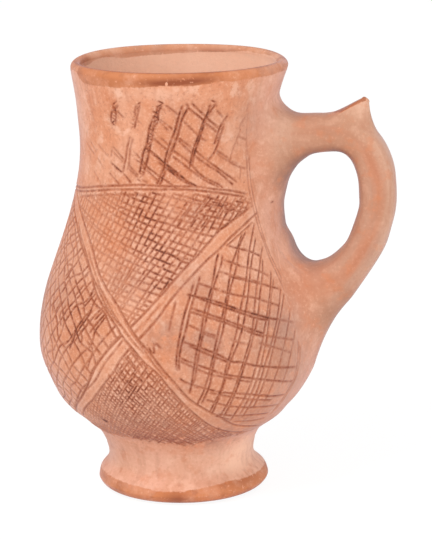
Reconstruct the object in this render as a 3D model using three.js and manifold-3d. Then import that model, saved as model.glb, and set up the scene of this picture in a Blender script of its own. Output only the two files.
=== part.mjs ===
// A hand-built terracotta jug: a flat foot slab, a waisted foot, a belly luted together from
// two halves, a collared neck, a rim coil, and a loop handle with a pinched thumb spur.
// Millimetres, +Z up. The origin is the centre of the resting face, and the handle is along +X.

import * as THREE from 'three';
import { mergeVertices } from 'three/addons/utils/BufferGeometryUtils.js';
import Module from 'manifold-3d';

const wasm = await Module();
wasm.setup();

// Outside of the jug: the radius and height of each place where the profile turns
const restRadius = 39;
const footRadius = 43.7;
const footEdgeHeight = 5;
const waistRadius = 37.4;
const waistHeight = 24.5;
const bellyRadius = 70.4;
const bellyHeight = 78;
const neckRadius = 48.8;
const neckHeight = 176;
const lipRadius = 54.1;
const crownHeight = 4;
const rimHeight = 220;
const lipHeight = rimHeight - crownHeight;

// How far the profile runs on upright below and above each turning place
const footEdgeHold = 1;
const waistHoldBelow = 11;
const waistHoldAbove = 7;
const bellyHoldBelow = 32;
const bellyHoldAbove = 36;
const neckHoldBelow = 38;
const neckHoldAbove = 20;
const lipHoldBelow = 4;

// Clay thicknesses, and the slip-filled joints between the pieces
const wallThickness = 5.6;
const slabThickness = 9;
const collarSeamHeight = 37;
const bellySeamHeight = 84;
const neckSeamHeight = 161;
const rimCoilHeight = 7.5;
const rimSeamHeight = rimHeight - rimCoilHeight;
const seamBevel = 3;
const rimSeamBevel = 0.6;
const slipGap = 0.3;

// Spine of the handle, seen from its side
const armRootRise = 4.3;
const armRootHeight = neckHeight + armRootRise;
const armRise = 2.8;
const armPull = 27;
const kneeStandoff = 30;
const kneeReach = bellyRadius + kneeStandoff;
const kneeDrop = 30.1;
const kneeHeight = armRootHeight - kneeDrop;
const kneeHoldAbove = 46;
const kneeHoldBelow = 16;
const heelRise = 23.8;
const heelHeight = bellyHeight + heelRise;
const heelPull = 29.7;
const heelDrop = 4.4;
const armRootDepth = 4;
const heelRootDepth = 15.6;

// Section of the handle, and how it spreads where it is worked into the wall
const armThickness = 20.3;
const strapThickness = 18.9;
const strapWidth = 23;
const strapRoundness = 2.5;
const armSpread = 22.6;
const armSpreadLength = 8.1;
const heelSpread = 45.9;
const heelSpreadLength = 18.8;
const rootWidthSpread = 15;
const armRootLength = 20;
const heelRootLength = 34;

// Thumb spur, pinched up from the outer bend of the handle
const spurSetback = 5.5;
const spurHeight = 22.1;
const spurTipThickness = 2;
const spurTipWidth = 7;
const spurBaseStart = 32;
const spurBaseLength = 17;
const spurSink = 5;

// Facets
const around = 60;
const facetHeight = 7;
const strapSides = 16;
const strapStep = 5;
const halvingLimit = 1e-7;
const mergeDistance = 1e-4;

const clayColour = 0xdeb08d;
const slipColour = 0xa96a48;
const handleColour = 0xd49a73;

function clay(color) {
  return new THREE.MeshStandardMaterial({ color, roughness: 0.78, metalness: 0 });
}

// One rising stretch of the profile, upright at both ends
function rise(fromRadius, fromHeight, holdAbove, toRadius, toHeight, holdBelow) {
  return new THREE.CubicBezierCurve(
    new THREE.Vector2(fromRadius, fromHeight),
    new THREE.Vector2(fromRadius, fromHeight + holdAbove),
    new THREE.Vector2(toRadius, toHeight - holdBelow),
    new THREE.Vector2(toRadius, toHeight),
  );
}

const profile = [
  rise(footRadius, footEdgeHeight, footEdgeHold, waistRadius, waistHeight, waistHoldBelow),
  rise(waistRadius, waistHeight, waistHoldAbove, bellyRadius, bellyHeight, bellyHoldBelow),
  rise(bellyRadius, bellyHeight, bellyHoldAbove, neckRadius, neckHeight, neckHoldBelow),
  rise(neckRadius, neckHeight, neckHoldAbove, lipRadius, lipHeight, lipHoldBelow),
];

// Point of the outside profile at a height, found by halving, and the way into the wall there
function outside(z) {
  const curve = profile.find((stretch) => z <= stretch.v3.y) ?? profile.at(-1);
  let low = 0;
  let high = 1;
  while (high - low > halvingLimit) {
    const middle = (low + high) / 2;
    if (curve.getPoint(middle).y < z) low = middle;
    else high = middle;
  }
  const tangent = curve.getTangent(low);
  return { radius: curve.getPoint(low).x, inward: new THREE.Vector2(-tangent.y, tangent.x) };
}

function outerPoint(z) {
  return new THREE.Vector2(outside(z).radius, z);
}

// The inside follows the outside one wall away, but the foot is filled out to the waist's bore
function innerPoint(z) {
  const { radius, inward } = outside(z);
  const bore = waistRadius - wallThickness;
  if (z < waistHeight) return new THREE.Vector2(bore, z);
  return new THREE.Vector2(radius, z).addScaledVector(inward, wallThickness);
}

function heights(from, to) {
  const steps = Math.ceil((to - from) / facetHeight);
  return Array.from({ length: steps + 1 }, (_, i) => from + ((to - from) * i) / steps);
}

// Lathe a section given as radius and height, turned so that its axis is Z
function turned(outline) {
  const geometry = new THREE.LatheGeometry(outline, around);
  geometry.rotateX(Math.PI / 2);
  return geometry;
}

function closed(outline) {
  return [...outline, outline[0].clone()];
}

// Ring of wall between two seams, each rising from the outside to the inside by its bevel
function wallRing(from, fromBevel, to, toBevel) {
  const outer = heights(from, to).map(outerPoint);
  const inner = heights(from + fromBevel, to + toBevel).map(innerPoint);
  return turned(closed([...outer, ...inner.reverse()]));
}

function footSlab() {
  const turns = 4;
  const edge = Array.from({ length: turns + 1 }, (_, i) => {
    const angle = (i / turns) * (Math.PI / 2);
    const radius = restRadius + (footRadius - restRadius) * Math.sin(angle);
    return new THREE.Vector2(radius, footEdgeHeight * (1 - Math.cos(angle)));
  });
  const top = new THREE.Vector2(0, slabThickness);
  return turned([new THREE.Vector2(0, 0), ...edge, outerPoint(slabThickness), top]);
}

function footCollar() {
  return wallRing(slabThickness + slipGap, 0, collarSeamHeight, seamBevel);
}

function bellyBowl() {
  return wallRing(collarSeamHeight + slipGap, seamBevel, bellySeamHeight, seamBevel);
}

function bellyShoulder() {
  return wallRing(bellySeamHeight + slipGap, seamBevel, neckSeamHeight, seamBevel);
}

function neckCollar() {
  return wallRing(neckSeamHeight + slipGap, seamBevel, rimSeamHeight, rimSeamBevel);
}

// Rim coil: upright to the lip, then rounded over to the inside of the wall
function rimCoil() {
  const from = rimSeamHeight + slipGap;
  const turns = 6;
  const crown = Array.from({ length: turns + 1 }, (_, i) => {
    const angle = (i / turns) * Math.PI;
    const radius = lipRadius - (wallThickness / 2) * (1 - Math.cos(angle));
    return new THREE.Vector2(radius, lipHeight + (rimHeight - lipHeight) * Math.sin(angle));
  });
  return turned(closed([outerPoint(from), ...crown, innerPoint(from + rimSeamBevel)]));
}

// Spine of the handle as one curve, from inside the neck's wall to inside the belly's
function handleSpine() {
  const root = new THREE.Vector2(neckRadius - armRootDepth, armRootHeight);
  const knee = new THREE.Vector2(kneeReach, kneeHeight);
  const heel = new THREE.Vector2(outside(heelHeight).radius - heelRootDepth, heelHeight);
  const arm = new THREE.CubicBezierCurve(
    root,
    new THREE.Vector2(root.x + armPull, root.y + armRise),
    new THREE.Vector2(knee.x, knee.y + kneeHoldAbove),
    knee,
  );
  const strap = new THREE.CubicBezierCurve(
    knee,
    new THREE.Vector2(knee.x, knee.y - kneeHoldBelow),
    new THREE.Vector2(heel.x + heelPull, heel.y - heelDrop),
    heel,
  );
  const spine = new THREE.CurvePath();
  spine.add(arm);
  spine.add(strap);
  return spine;
}

const spine = handleSpine();
const spineLength = spine.getLength();
const armLength = spine.curves[0].getLength();

function spread(distance, reach) {
  return Math.exp(-((Math.max(distance, 0) / reach) ** 2));
}

// Section of the handle at a distance along its spine
function handleSection(distance) {
  const nearArm = spread(distance - armRootDepth, armSpreadLength);
  const nearHeel = spread(spineLength - distance, heelSpreadLength);
  const slimming = THREE.MathUtils.smoothstep(distance, 0, armLength);
  const plain = THREE.MathUtils.lerp(armThickness, strapThickness, slimming);
  return {
    centre: spine.getPointAt(distance / spineLength),
    tangent: spine.getTangentAt(distance / spineLength),
    thickness: plain + armSpread * nearArm + heelSpread * nearHeel,
    width: strapWidth + rootWidthSpread * (nearArm + nearHeel),
  };
}

// Back of the strap at a distance along its spine, away from the fingers, or a depth inside it
function strapBack(distance, depth = 0) {
  const { centre, tangent, thickness } = handleSection(distance);
  const outward = new THREE.Vector2(-tangent.y, tangent.x);
  return centre.clone().addScaledVector(outward, thickness / 2 - depth);
}

// Rounded ring in the plane through a section's front and back points and the Y axis
function ringPoints({ centre, outward, thickness, width }) {
  return Array.from({ length: strapSides }, (_, i) => {
    const angle = (i / strapSides) * 2 * Math.PI;
    const bulge = 2 / strapRoundness;
    const across = Math.sign(Math.cos(angle)) * Math.abs(Math.cos(angle)) ** bulge;
    const aside = Math.sign(Math.sin(angle)) * Math.abs(Math.sin(angle)) ** bulge;
    const along = centre.clone().addScaledVector(outward, (across * thickness) / 2);
    return new THREE.Vector3(along.x, (aside * width) / 2, along.y);
  });
}

// Closed skin over a row of rings, with a fan over each end
function skinOver(rings) {
  const corners = rings.flat();
  const first = corners.length;
  const faces = [];
  for (let ring = 0; ring + 1 < rings.length; ring += 1) {
    for (let side = 0; side < strapSides; side += 1) {
      const next = (side + 1) % strapSides;
      const low = ring * strapSides;
      const high = low + strapSides;
      faces.push(low + side, high + side, low + next);
      faces.push(low + next, high + side, high + next);
    }
  }
  const last = (rings.length - 1) * strapSides;
  for (let side = 0; side < strapSides; side += 1) {
    const next = (side + 1) % strapSides;
    faces.push(first, side, next);
    faces.push(first + 1, last + next, last + side);
  }
  const middle = (ring) => ring.reduce((sum, point) => sum.add(point), new THREE.Vector3())
    .divideScalar(strapSides);
  const geometry = new THREE.BufferGeometry()
    .setFromPoints([...corners, middle(rings[0]), middle(rings.at(-1))]);
  geometry.setIndex(faces);
  return geometry;
}

// Stretch of the handle between two distances along its spine, made fatter all round if asked
function handleStretch(from, to, extra = 0) {
  const steps = Math.ceil((to - from) / strapStep);
  const rings = Array.from({ length: steps + 1 }, (_, i) => {
    const section = handleSection(from + ((to - from) * i) / steps);
    return ringPoints({
      centre: section.centre,
      outward: new THREE.Vector2(-section.tangent.y, section.tangent.x),
      thickness: section.thickness + 2 * extra,
      width: section.width + 2 * extra,
    });
  });
  return skinOver(rings);
}

function solidOf(geometry) {
  const bare = geometry.clone().deleteAttribute('normal').deleteAttribute('uv');
  const merged = mergeVertices(bare, mergeDistance);
  return new wasm.Manifold(new wasm.Mesh({
    numProp: 3,
    vertProperties: new Float32Array(merged.attributes.position.array),
    triVerts: new Uint32Array(merged.index.array),
  }));
}

function geometryOf(solid) {
  const { vertProperties, triVerts } = solid.getMesh();
  const geometry = new THREE.BufferGeometry();
  geometry.setAttribute('position', new THREE.BufferAttribute(vertProperties, 3));
  geometry.setIndex(new THREE.BufferAttribute(triVerts, 1));
  geometry.computeVertexNormals();
  return geometry;
}

// Everything inside the jug's outer surface and the slip gap round it, straight up from the lip
function jugEnvelope() {
  const wall = heights(footEdgeHeight, lipHeight).map((z) => {
    const { radius, inward } = outside(z);
    return new THREE.Vector2(radius, z).addScaledVector(inward, -slipGap);
  });
  const base = new THREE.Vector2(0, footEdgeHeight);
  const aboveRoot = rimHeight + armSpread;
  const crown = new THREE.Vector2(lipRadius + slipGap, aboveRoot);
  const top = new THREE.Vector2(0, aboveRoot);
  return solidOf(turned([base, ...wall, crown, top]));
}

const envelope = jugEnvelope();

function armRoot() {
  return geometryOf(solidOf(handleStretch(0, armRootLength)).subtract(envelope));
}

function handleStrap() {
  return handleStretch(armRootLength + slipGap, spineLength - heelRootLength);
}

function heelRoot() {
  const from = spineLength - heelRootLength + slipGap;
  return geometryOf(solidOf(handleStretch(from, spineLength)).subtract(envelope));
}

function spurRing(front, back, share) {
  return ringPoints({
    centre: front.clone().lerp(back, 0.5),
    outward: front.clone().sub(back).normalize(),
    thickness: front.distanceTo(back),
    width: THREE.MathUtils.lerp(strapWidth, spurTipWidth, share),
  });
}

// Thumb spur: a horn that narrows from its base on the bend to its tip, seated on the strap
function thumbSpur() {
  const from = spurBaseStart;
  const to = spurBaseStart + spurBaseLength;
  const tip = new THREE.Vector2(kneeReach - spurSetback, armRootHeight + spurHeight);
  const halfTip = new THREE.Vector2(spurTipThickness / 2, 0);
  const sunk = spurRing(strapBack(from, spurSink), strapBack(to, spurSink), 0);
  const risen = [0, 0.35, 0.7, 1].map((share) => spurRing(
    strapBack(from).lerp(tip.clone().sub(halfTip), share),
    strapBack(to).lerp(tip.clone().add(halfTip), share),
    share,
  ));
  const strap = solidOf(handleStretch(armRootLength, spineLength - heelRootLength, slipGap));
  return geometryOf(solidOf(skinOver([sunk, ...risen])).subtract(strap));
}

function piece(name, geometry, color) {
  const mesh = new THREE.Mesh(geometry, clay(color));
  mesh.name = name;
  return mesh;
}

const jug = new THREE.Group();
jug.add(piece('foot_slab', footSlab(), slipColour));
jug.add(piece('foot_collar', footCollar(), clayColour));
jug.add(piece('belly_bowl', bellyBowl(), clayColour));
jug.add(piece('belly_shoulder', bellyShoulder(), clayColour));
jug.add(piece('neck_collar', neckCollar(), clayColour));
jug.add(piece('rim_coil', rimCoil(), slipColour));
jug.add(piece('handle_arm_root', armRoot(), handleColour));
jug.add(piece('handle_strap', handleStrap(), handleColour));
jug.add(piece('handle_heel_root', heelRoot(), handleColour));
jug.add(piece('thumb_spur', thumbSpur(), handleColour));

export default jug;
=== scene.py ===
"""A hand-built terracotta jug with an incised belly and neck and a spurred loop handle.

Lengths are in millimetres and azimuths in degrees from the handle, until a mesh is made.
"""
import math

import bpy
import numpy as np
from mathutils import Matrix, Vector


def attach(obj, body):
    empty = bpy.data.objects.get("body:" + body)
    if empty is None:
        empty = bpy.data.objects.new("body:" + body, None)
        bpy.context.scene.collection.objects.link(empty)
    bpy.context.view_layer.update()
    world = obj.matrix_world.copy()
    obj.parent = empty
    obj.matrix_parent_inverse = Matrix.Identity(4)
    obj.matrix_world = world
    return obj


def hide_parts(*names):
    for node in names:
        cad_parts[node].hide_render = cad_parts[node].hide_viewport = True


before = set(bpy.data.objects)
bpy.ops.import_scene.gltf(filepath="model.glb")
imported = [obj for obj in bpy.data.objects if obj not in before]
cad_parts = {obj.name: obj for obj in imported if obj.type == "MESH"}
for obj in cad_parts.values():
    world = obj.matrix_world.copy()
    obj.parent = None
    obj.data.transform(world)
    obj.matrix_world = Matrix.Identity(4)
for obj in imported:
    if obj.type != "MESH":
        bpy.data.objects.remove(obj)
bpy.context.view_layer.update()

MM = 0.001

# The rounded rim and the flat face that the jug stands on
RIM_HEIGHT = 220.0
CROWN_HEIGHT = 4.0
LIP_HEIGHT = RIM_HEIGHT - CROWN_HEIGHT
REST_RADIUS = 35.3

# Places where the outside stands upright: radius, height, and how far it runs on upright below and above
FOOT_EDGE = (43.7, 5.0, 0.0, 1.0)
WAIST = (37.4, 24.5, 11.0, 7.0)
BELLY = (70.4, 78.0, 32.0, 36.0)
NECK = (48.8, 176.0, 38.0, 20.0)
LIP = (54.1, LIP_HEIGHT, 4.0, 0.0)

# Clay thickness, and the seams over the foot slab, the foot collar, the two halves of the belly and the
# neck: their heights outside, and how much higher they are inside
WALL = 5.6
SEAMS = np.array([9.15, 37.15, 84.15, 161.15, 212.65])
SEAM_BEVELS = np.array([0.0, 3.0, 3.0, 3.0, 0.6])
SEAMS_INSIDE = SEAMS + SEAM_BEVELS

# How much of the outside's unevenness the inside has
INSIDE_UNEVEN = 0.7

# The hand-built wall leans a little to one side, and bows back between foot and rim
LEAN_DIRECTION = math.radians(12)
LEAN_AT_RIM = 0.8
LEAN_BOW = -6.76

# Slow waves of the wall: how many go round, their pitch up the wall, and how much they stand out
UNEVEN = ((2, 61, 0.22), (3, 43, 0.16), (5, 29, 0.12), (4, -23, 0.1), (7, 17, 0.07), (9, -13, 0.05))

# Where the wall swells or sinks: azimuth and height, reach round and up, and how much
SWELLINGS = (
    ((12, 133), (40, 9), -0.8), ((12, 127), (40, 6), -0.7), ((12, 154), (30, 5), 0.6),
    ((12, 128), (45, 12), -1.6), ((12, 66), (40, 8), 0.75), ((-168, 124), (60, 24), -0.7),
    ((-168, 61), (50, 9), -0.9), ((-168, 50), (50, 4), 0.3), ((-168, 190), (50, 10), 0.35),
    ((12, 202), (40, 9), -0.9), ((12, 217), (40, 4), 0.5),
)

# How much fuller the hand-pressed foot is than its profile, up its height: under the handle, then opposite
FOOT_FULLNESS = (
    (0, 0, -0.4), (2, -0.9, -0.8), (4, -0.6, -1.4), (6, 0.3, -0.6), (9, 1.2, 0.9), (12, -0.7, -0.3),
    (15, -2.4, -1.7), (18, -2.0, -1.1), (21, -0.9, 0), (24, 0.1, 1.1), (27, 0.3, 1.4), (30, -1.3, -0.2),
    (33, -1.2, -1.2), (36, -0.6, -0.6), (40, 0.4, -1.0), (44, -0.4, 0), (48, 0, 0),
)

# Where the rim's crown rises or sinks: azimuth, reach round, and how much
RIM_SWELLS = ((-166, 22, -0.6), (140, 25, 0.2), (55, 25, 0.3), (15, 22, -0.6), (-60, 60, 0.3))

# Spine of the handle, seen from its side
ARM_ROOT_DEPTH = 4.0
ARM_ROOT_HEIGHT = 180.3
ARM_PULL = (27.0, 2.8)
KNEE = (100.4, 150.2)
KNEE_HOLD_ABOVE = 46.0
KNEE_HOLD_BELOW = 16.0
HEEL_HEIGHT = 101.8
HEEL_ROOT_DEPTH = 15.6
HEEL_PULL = (29.7, -4.4)

# Section of the handle, and how it spreads where it is worked into the wall
ARM_THICKNESS = 20.3
STRAP_THICKNESS = 18.9
STRAP_WIDTH = 23.0
STRAP_ROUNDNESS = 2.5
ARM_SPREAD = 22.6
ARM_SPREAD_LENGTH = 8.1
HEEL_SPREAD = 45.9
HEEL_SPREAD_LENGTH = 18.8
ROOT_WIDTH_SPREAD = 15.0
ARM_ROOT_LENGTH = 20.0
HEEL_ROOT_LENGTH = 34.0

# How much fuller the hand-shaped strap is on its back and on its finger side, along its spine
BACK_FULLNESS = (
    (0, -0.3), (12, -0.4), (22, -0.6), (30, -0.7), (52, -0.4), (58, -0.4), (66, 0.1), (74, 0), (82, -0.5),
    (90, -0.5), (98, 0.1), (106, 0.1), (112, 0.5), (120, 0.9), (126, 1.4), (132, 0.6), (138, 0),
)
FINGER_FULLNESS = (
    (0, 1.7), (17, 1.8), (22, 0.4), (28, -0.1), (38, -0.6), (52, -0.8), (60, -0.5), (68, -0.8), (77, -0.2),
    (97, -0.6), (107, -1.3), (116, -0.3), (122, 0.2), (127, 0.3), (132, -0.9), (138, -1.6),
)

# Thumb spur: where it rises from the strap, and its outline in front and behind, seen from its side
SPUR_START = 31.0
SPUR_END = 51.5
SPUR_HALF_ANGLE = math.radians(64)
SPUR_FRONT = ((80.7, 194.3), (86.8, 198.4), (92.1, 201.0))
SPUR_BACK = ((98.6, 187.3), (96.6, 192.5), (96.1, 199.0))
SPUR_TIP_SHARE = 0.113
SPUR_FILLET_REACH = 3.0
SPUR_FILLET_SHARE = 0.2
SPUR_SLIP_REACH = 2.2
SPUR_CAP = np.array([0.9, 0.0, 1.35])

# Fineness of the meshes
COLUMNS = 960
COLUMN_STEP = 0.4
ROW_STEP = 0.45
INSIDE_STEP = 2.5
STRAP_COLUMNS = 192
STRAP_STEP = 0.7
FILLET_ROWS = 29
SPUR_COLUMNS = 150
SPUR_ROWS = 25

# View of the photograph
CAMERA_PLACE = (261.1, -1228.3, 399.9)
CAMERA_HEADING = 11.18
CAMERA_PITCH = 12.94
CAMERA_ROLL = -0.70
CAMERA_LENS = 169.9
SENSOR_WIDTH = 36.0
CAMERA_REACH = 20000.0

# Lamps: where each stands and what it aims at, in metres, then its size and its power
LAMPS = {
    "key": ((-0.7, -1.2, 1.7), (0, 0, 0.11), 0.8, 22),
    "fill": ((1.5, -0.9, 0.3), (0, 0, 0.09), 1.2, 8),
    "low": ((0.62, -0.6, 0.06), (0, 0, 0.01), 0.3, 0.45),
}

# Level of the world as a light, the floor's half length in metres, and the floor's glow and its share
WORLD_LEVEL = 0.55
FLOOR_HALF = 3.0
FLOOR_GLOW = 1.08
FLOOR_GLOW_SHARE = 0.85

random = np.random.default_rng(11)


# Profile of the wall

def bezier(points, share):
    """Points of a cubic curve at each share of its run."""
    t = np.asarray(share, float)[..., None]
    a, b, c, d = (np.asarray(point, float) for point in points)
    return (1 - t) ** 3 * a + 3 * t * (1 - t) ** 2 * b + 3 * t ** 2 * (1 - t) * c + t ** 3 * d


def smoothstep(low, high, value):
    share = np.clip((value - low) / (high - low), 0, 1)
    return share * share * (3 - 2 * share)


def bell(value, middle, reach):
    """1 at the middle, and fading to both sides."""
    return np.exp(-((value - middle) / reach) ** 2)


def run_along(points):
    """Distance along a line of points."""
    return np.concatenate([[0], np.cumsum(np.linalg.norm(np.diff(points, axis=0), axis=1))])


def rise(lower, upper):
    """One rising stretch of the profile, upright at both ends."""
    low_radius, low, _, hold_above = lower
    high_radius, high, hold_below, _ = upper
    leave = (low_radius, low), (low_radius, low + hold_above)
    arrive = (high_radius, high - hold_below), (high_radius, high)
    return bezier(leave + arrive, np.linspace(0, 1, 500))[1:]


def whole_profile():
    """Radius and height all the way up the outside, from the rounded edge of the foot."""
    turn = np.linspace(0, math.pi / 2, 60)
    foot_radius, foot_height = FOOT_EDGE[:2]
    radius = REST_RADIUS + (foot_radius - REST_RADIUS) * np.sin(turn)
    foot = np.stack([radius, foot_height * (1 - np.cos(turn))], axis=-1)
    upright = (FOOT_EDGE, WAIST, BELLY, NECK, LIP)
    return np.concatenate([foot, *map(rise, upright, upright[1:])])


PROFILE = whole_profile()
PROFILE_RADIUS, PROFILE_HEIGHT = PROFILE.T
PROFILE_ARC = run_along(PROFILE)
PROFILE_ACROSS = np.gradient(PROFILE_HEIGHT, PROFILE_ARC)
PROFILE_DOWN = -np.gradient(PROFILE_RADIUS, PROFILE_ARC)


def arc_at(z):
    """Distance along the profile at a height."""
    return np.interp(z, PROFILE_HEIGHT, PROFILE_ARC)


def height_at(arc):
    return np.interp(arc, PROFILE_ARC, PROFILE_HEIGHT)


def radius_at(z):
    return np.interp(z, PROFILE_HEIGHT, PROFILE_RADIUS)


def normal_at(arc):
    """How far the wall's normal points outward, and how far up."""
    return np.interp(arc, PROFILE_ARC, PROFILE_ACROSS), np.interp(arc, PROFILE_ARC, PROFILE_DOWN)


def lean(z):
    """How far the axis lies off the vertical at a height, along X and along Y."""
    share = np.asarray(z) / RIM_HEIGHT
    aside = LEAN_AT_RIM * share + LEAN_BOW * share * (1 - share)
    return aside * math.cos(LEAN_DIRECTION), aside * math.sin(LEAN_DIRECTION)


def smoothed(values, sigma):
    """Values blurred along their first axis by so many steps, with the ends held."""
    reach = math.ceil(3 * sigma)
    weights = np.exp(-(np.arange(-reach, reach + 1) / sigma) ** 2 / 2)
    first, last = (np.repeat(end, reach, axis=0) for end in (values[:1], values[-1:]))
    padded = np.concatenate([first, values, last])
    total = sum(weight * padded[index:index + len(values)] for index, weight in enumerate(weights))
    return total / weights.sum()


SWELL_STEP = 0.5


def swell_along(knots, length, column=1):
    """Smooth course of a fullness given at a few places: where, and how much."""
    knots = np.array(knots, float)
    run = np.arange(0, length, SWELL_STEP)
    return run, smoothed(np.interp(run, knots[:, 0], knots[:, column]), 1.5 / SWELL_STEP)


FOOT_SWELL_NEAR = swell_along(FOOT_FULLNESS, 60, 1)
FOOT_SWELL_FAR = swell_along(FOOT_FULLNESS, 60, 2)


def apart(turn, azimuth, reach):
    """Angle between azimuths as a share of a reach in degrees, the short way round."""
    return 2 * np.sin((turn - math.radians(azimuth)) / 2) / math.radians(reach)


def unevenness(turn, z):
    """How far the hand-built wall stands out of its profile, at an azimuth in radians."""
    z = np.asarray(z)
    total = 0
    for index, (waves, pitch, size) in enumerate(UNEVEN):
        total = total + size * np.sin(waves * turn + z / pitch + 2.4 * index)
    total = total * np.clip(z / 12, 0, 1)
    for (azimuth, height), (reach_round, reach_up), amount in SWELLINGS:
        off_round = apart(turn, azimuth, reach_round)
        total = total + amount * np.exp(-off_round ** 2 - ((z - height) / reach_up) ** 2)
    near = (1 + np.cos(turn - LEAN_DIRECTION)) / 2
    foot = near * np.interp(z, *FOOT_SWELL_NEAR) + (1 - near) * np.interp(z, *FOOT_SWELL_FAR)
    return total + foot


def on_axis(turn, radius, z):
    """Point at an azimuth in radians, a distance from the leaning axis and a height."""
    aside, along = lean(z)
    turn, radius, z, aside, along = np.broadcast_arrays(turn, radius, z, aside, along)
    return np.stack([aside + radius * np.cos(turn), along + radius * np.sin(turn), z], axis=-1)


def wall_point(turn, arc, proud=0.0):
    """Point of the outside, or of a surface that stands proud of it along its normal."""
    out = unevenness(turn, height_at(arc)) + proud
    outward, up = normal_at(arc)
    radius = np.interp(arc, PROFILE_ARC, PROFILE_RADIUS)
    return on_axis(turn, radius + out * outward, height_at(arc) + out * up)


def inner_point(turn, z):
    """Point of the inside, one wall away from the outside at a height."""
    outward, up = normal_at(arc_at(z))
    waist_radius, waist_height = WAIST[:2]
    in_foot = np.asarray(z) < waist_height
    radius = np.where(in_foot, waist_radius - WALL, radius_at(z) - WALL * outward)
    height = np.where(in_foot, z, z - WALL * up)
    return on_axis(turn, radius + INSIDE_UNEVEN * unevenness(turn + 1, z), height)


# Grid over the outside, with a row of its own at each seam

def grid_rows():
    """Distances along the profile of all rows, and the rows of each piece."""
    seams = [0.0, *(float(arc_at(z)) for z in (*SEAMS, LIP_HEIGHT))]
    rows = [0.0]
    spans = []
    for low, high in zip(seams, seams[1:]):
        first = len(rows) - 1
        rows.extend(np.linspace(low, high, math.ceil((high - low) / ROW_STEP) + 1)[1:])
        spans.append(slice(first, len(rows)))
    return np.array(rows), spans


ROWS, SPANS = grid_rows()
TURNS = np.arange(COLUMNS) * 2 * math.pi / COLUMNS
cut = np.zeros((len(ROWS), COLUMNS))
ink = np.zeros((len(ROWS), COLUMNS))


# Scratched pattern: strokes over azimuth in degrees and height

def places(text):
    """Azimuths and heights from a text of pairs."""
    return np.array([pair.split(",") for pair in text.split()], float)


def strokes(text):
    """Traced strokes from a text, one on each line: how dark it is, and then its places."""
    rows = (line.split(maxsplit=1) for line in text.strip().splitlines())
    return [(float(dark), places(course)) for dark, course in rows]


def smooth_path(points, per_span=20):
    """Curve through all the points."""
    points = np.asarray(points, float)
    if len(points) == 2:
        return points[0] + np.linspace(0, 1, 2 * per_span)[:, None] * (points[1] - points[0])
    ends = np.concatenate([[2 * points[0] - points[1]], points, [2 * points[-1] - points[-2]]])
    t = np.linspace(0, 1, per_span, endpoint=False)[:, None]
    spans = [
        0.5 * (2 * b + (c - a) * t + (2 * a - 5 * b + 4 * c - d) * t ** 2 + (3 * b - a - 3 * c + d) * t ** 3)
        for a, b, c, d in zip(ends, ends[1:], ends[2:], ends[3:])
    ]
    return np.concatenate([*spans, points[-1:]])


def along_path(points, step=0.25):
    """Azimuth, height and direction at even steps along a curve on the wall."""
    path = smooth_path(points)
    across = np.diff(np.radians(path[:, 0])) * radius_at((path[1:, 1] + path[:-1, 1]) / 2)
    run = np.concatenate([[0], np.cumsum(np.hypot(across, np.diff(arc_at(path[:, 1]))))])
    place = np.arange(0, run[-1], step)
    azimuth = np.interp(place, run, path[:, 0])
    z = np.interp(place, run, path[:, 1])
    across = np.radians(np.gradient(azimuth)) * radius_at(z)
    up = np.gradient(arc_at(z))
    length = np.maximum(np.hypot(across, up), 1e-6)
    return place, azimuth, z, across / length, up / length


def flicker(place, pitch, size):
    """Smooth random change along a stroke."""
    knots = random.normal(0, size, int(place[-1] / pitch) + 4)
    low = (place / pitch).astype(int)
    share = smoothstep(0, 1, place / pitch - low)
    return knots[low] * (1 - share) + knots[low + 1] * share


# Grid places round a stroke's point, and how far its cut and its dirt fade, as shares of its width
STAMP_COLUMNS = np.arange(-4, 6)[None, None, :]
STAMP_ROWS = np.arange(-3, 5)[None, :, None]
CUT_FADE = 0.6
INK_FADE = 0.68


def stamp(azimuth, z, depth, dark, width):
    """Press a stroke's points into the grid, keeping the deepest cut and the darkest ink."""
    azimuth, z, depth, dark = (value[:, None, None] for value in (azimuth, z, depth, dark))
    arc = arc_at(z)
    column = azimuth / 360 * COLUMNS
    row = np.floor(np.interp(arc, ROWS, np.arange(len(ROWS))))
    columns = np.floor(column) + STAMP_COLUMNS
    rows = np.clip(row + STAMP_ROWS, 0, len(ROWS) - 1).astype(int)
    x = (columns - column) * (2 * math.pi / COLUMNS) * radius_at(z)
    y = ROWS[rows] - arc
    away = x * x + y * y
    columns = np.broadcast_to(columns, away.shape).astype(int) % COLUMNS
    rows = np.broadcast_to(rows, away.shape)
    np.maximum.at(cut, (rows, columns), np.exp(-away / (CUT_FADE * width) ** 2) * depth)
    np.maximum.at(ink, (rows, columns), np.exp(-away / (INK_FADE * width) ** 2) * dark)


# Along a stroke, in millimetres: how often the hand wavers, presses harder and picks up dirt, coarse
# and fine, and how long the stroke's ends taper
WAVER_PITCH = 9.0
FORCE_PITCH = 5.0
FORCE_CHANGE = 0.16
DIRT_PITCH = 2.2
FINE_DIRT_PITCH = 0.7
TAPER = 1.2


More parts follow.
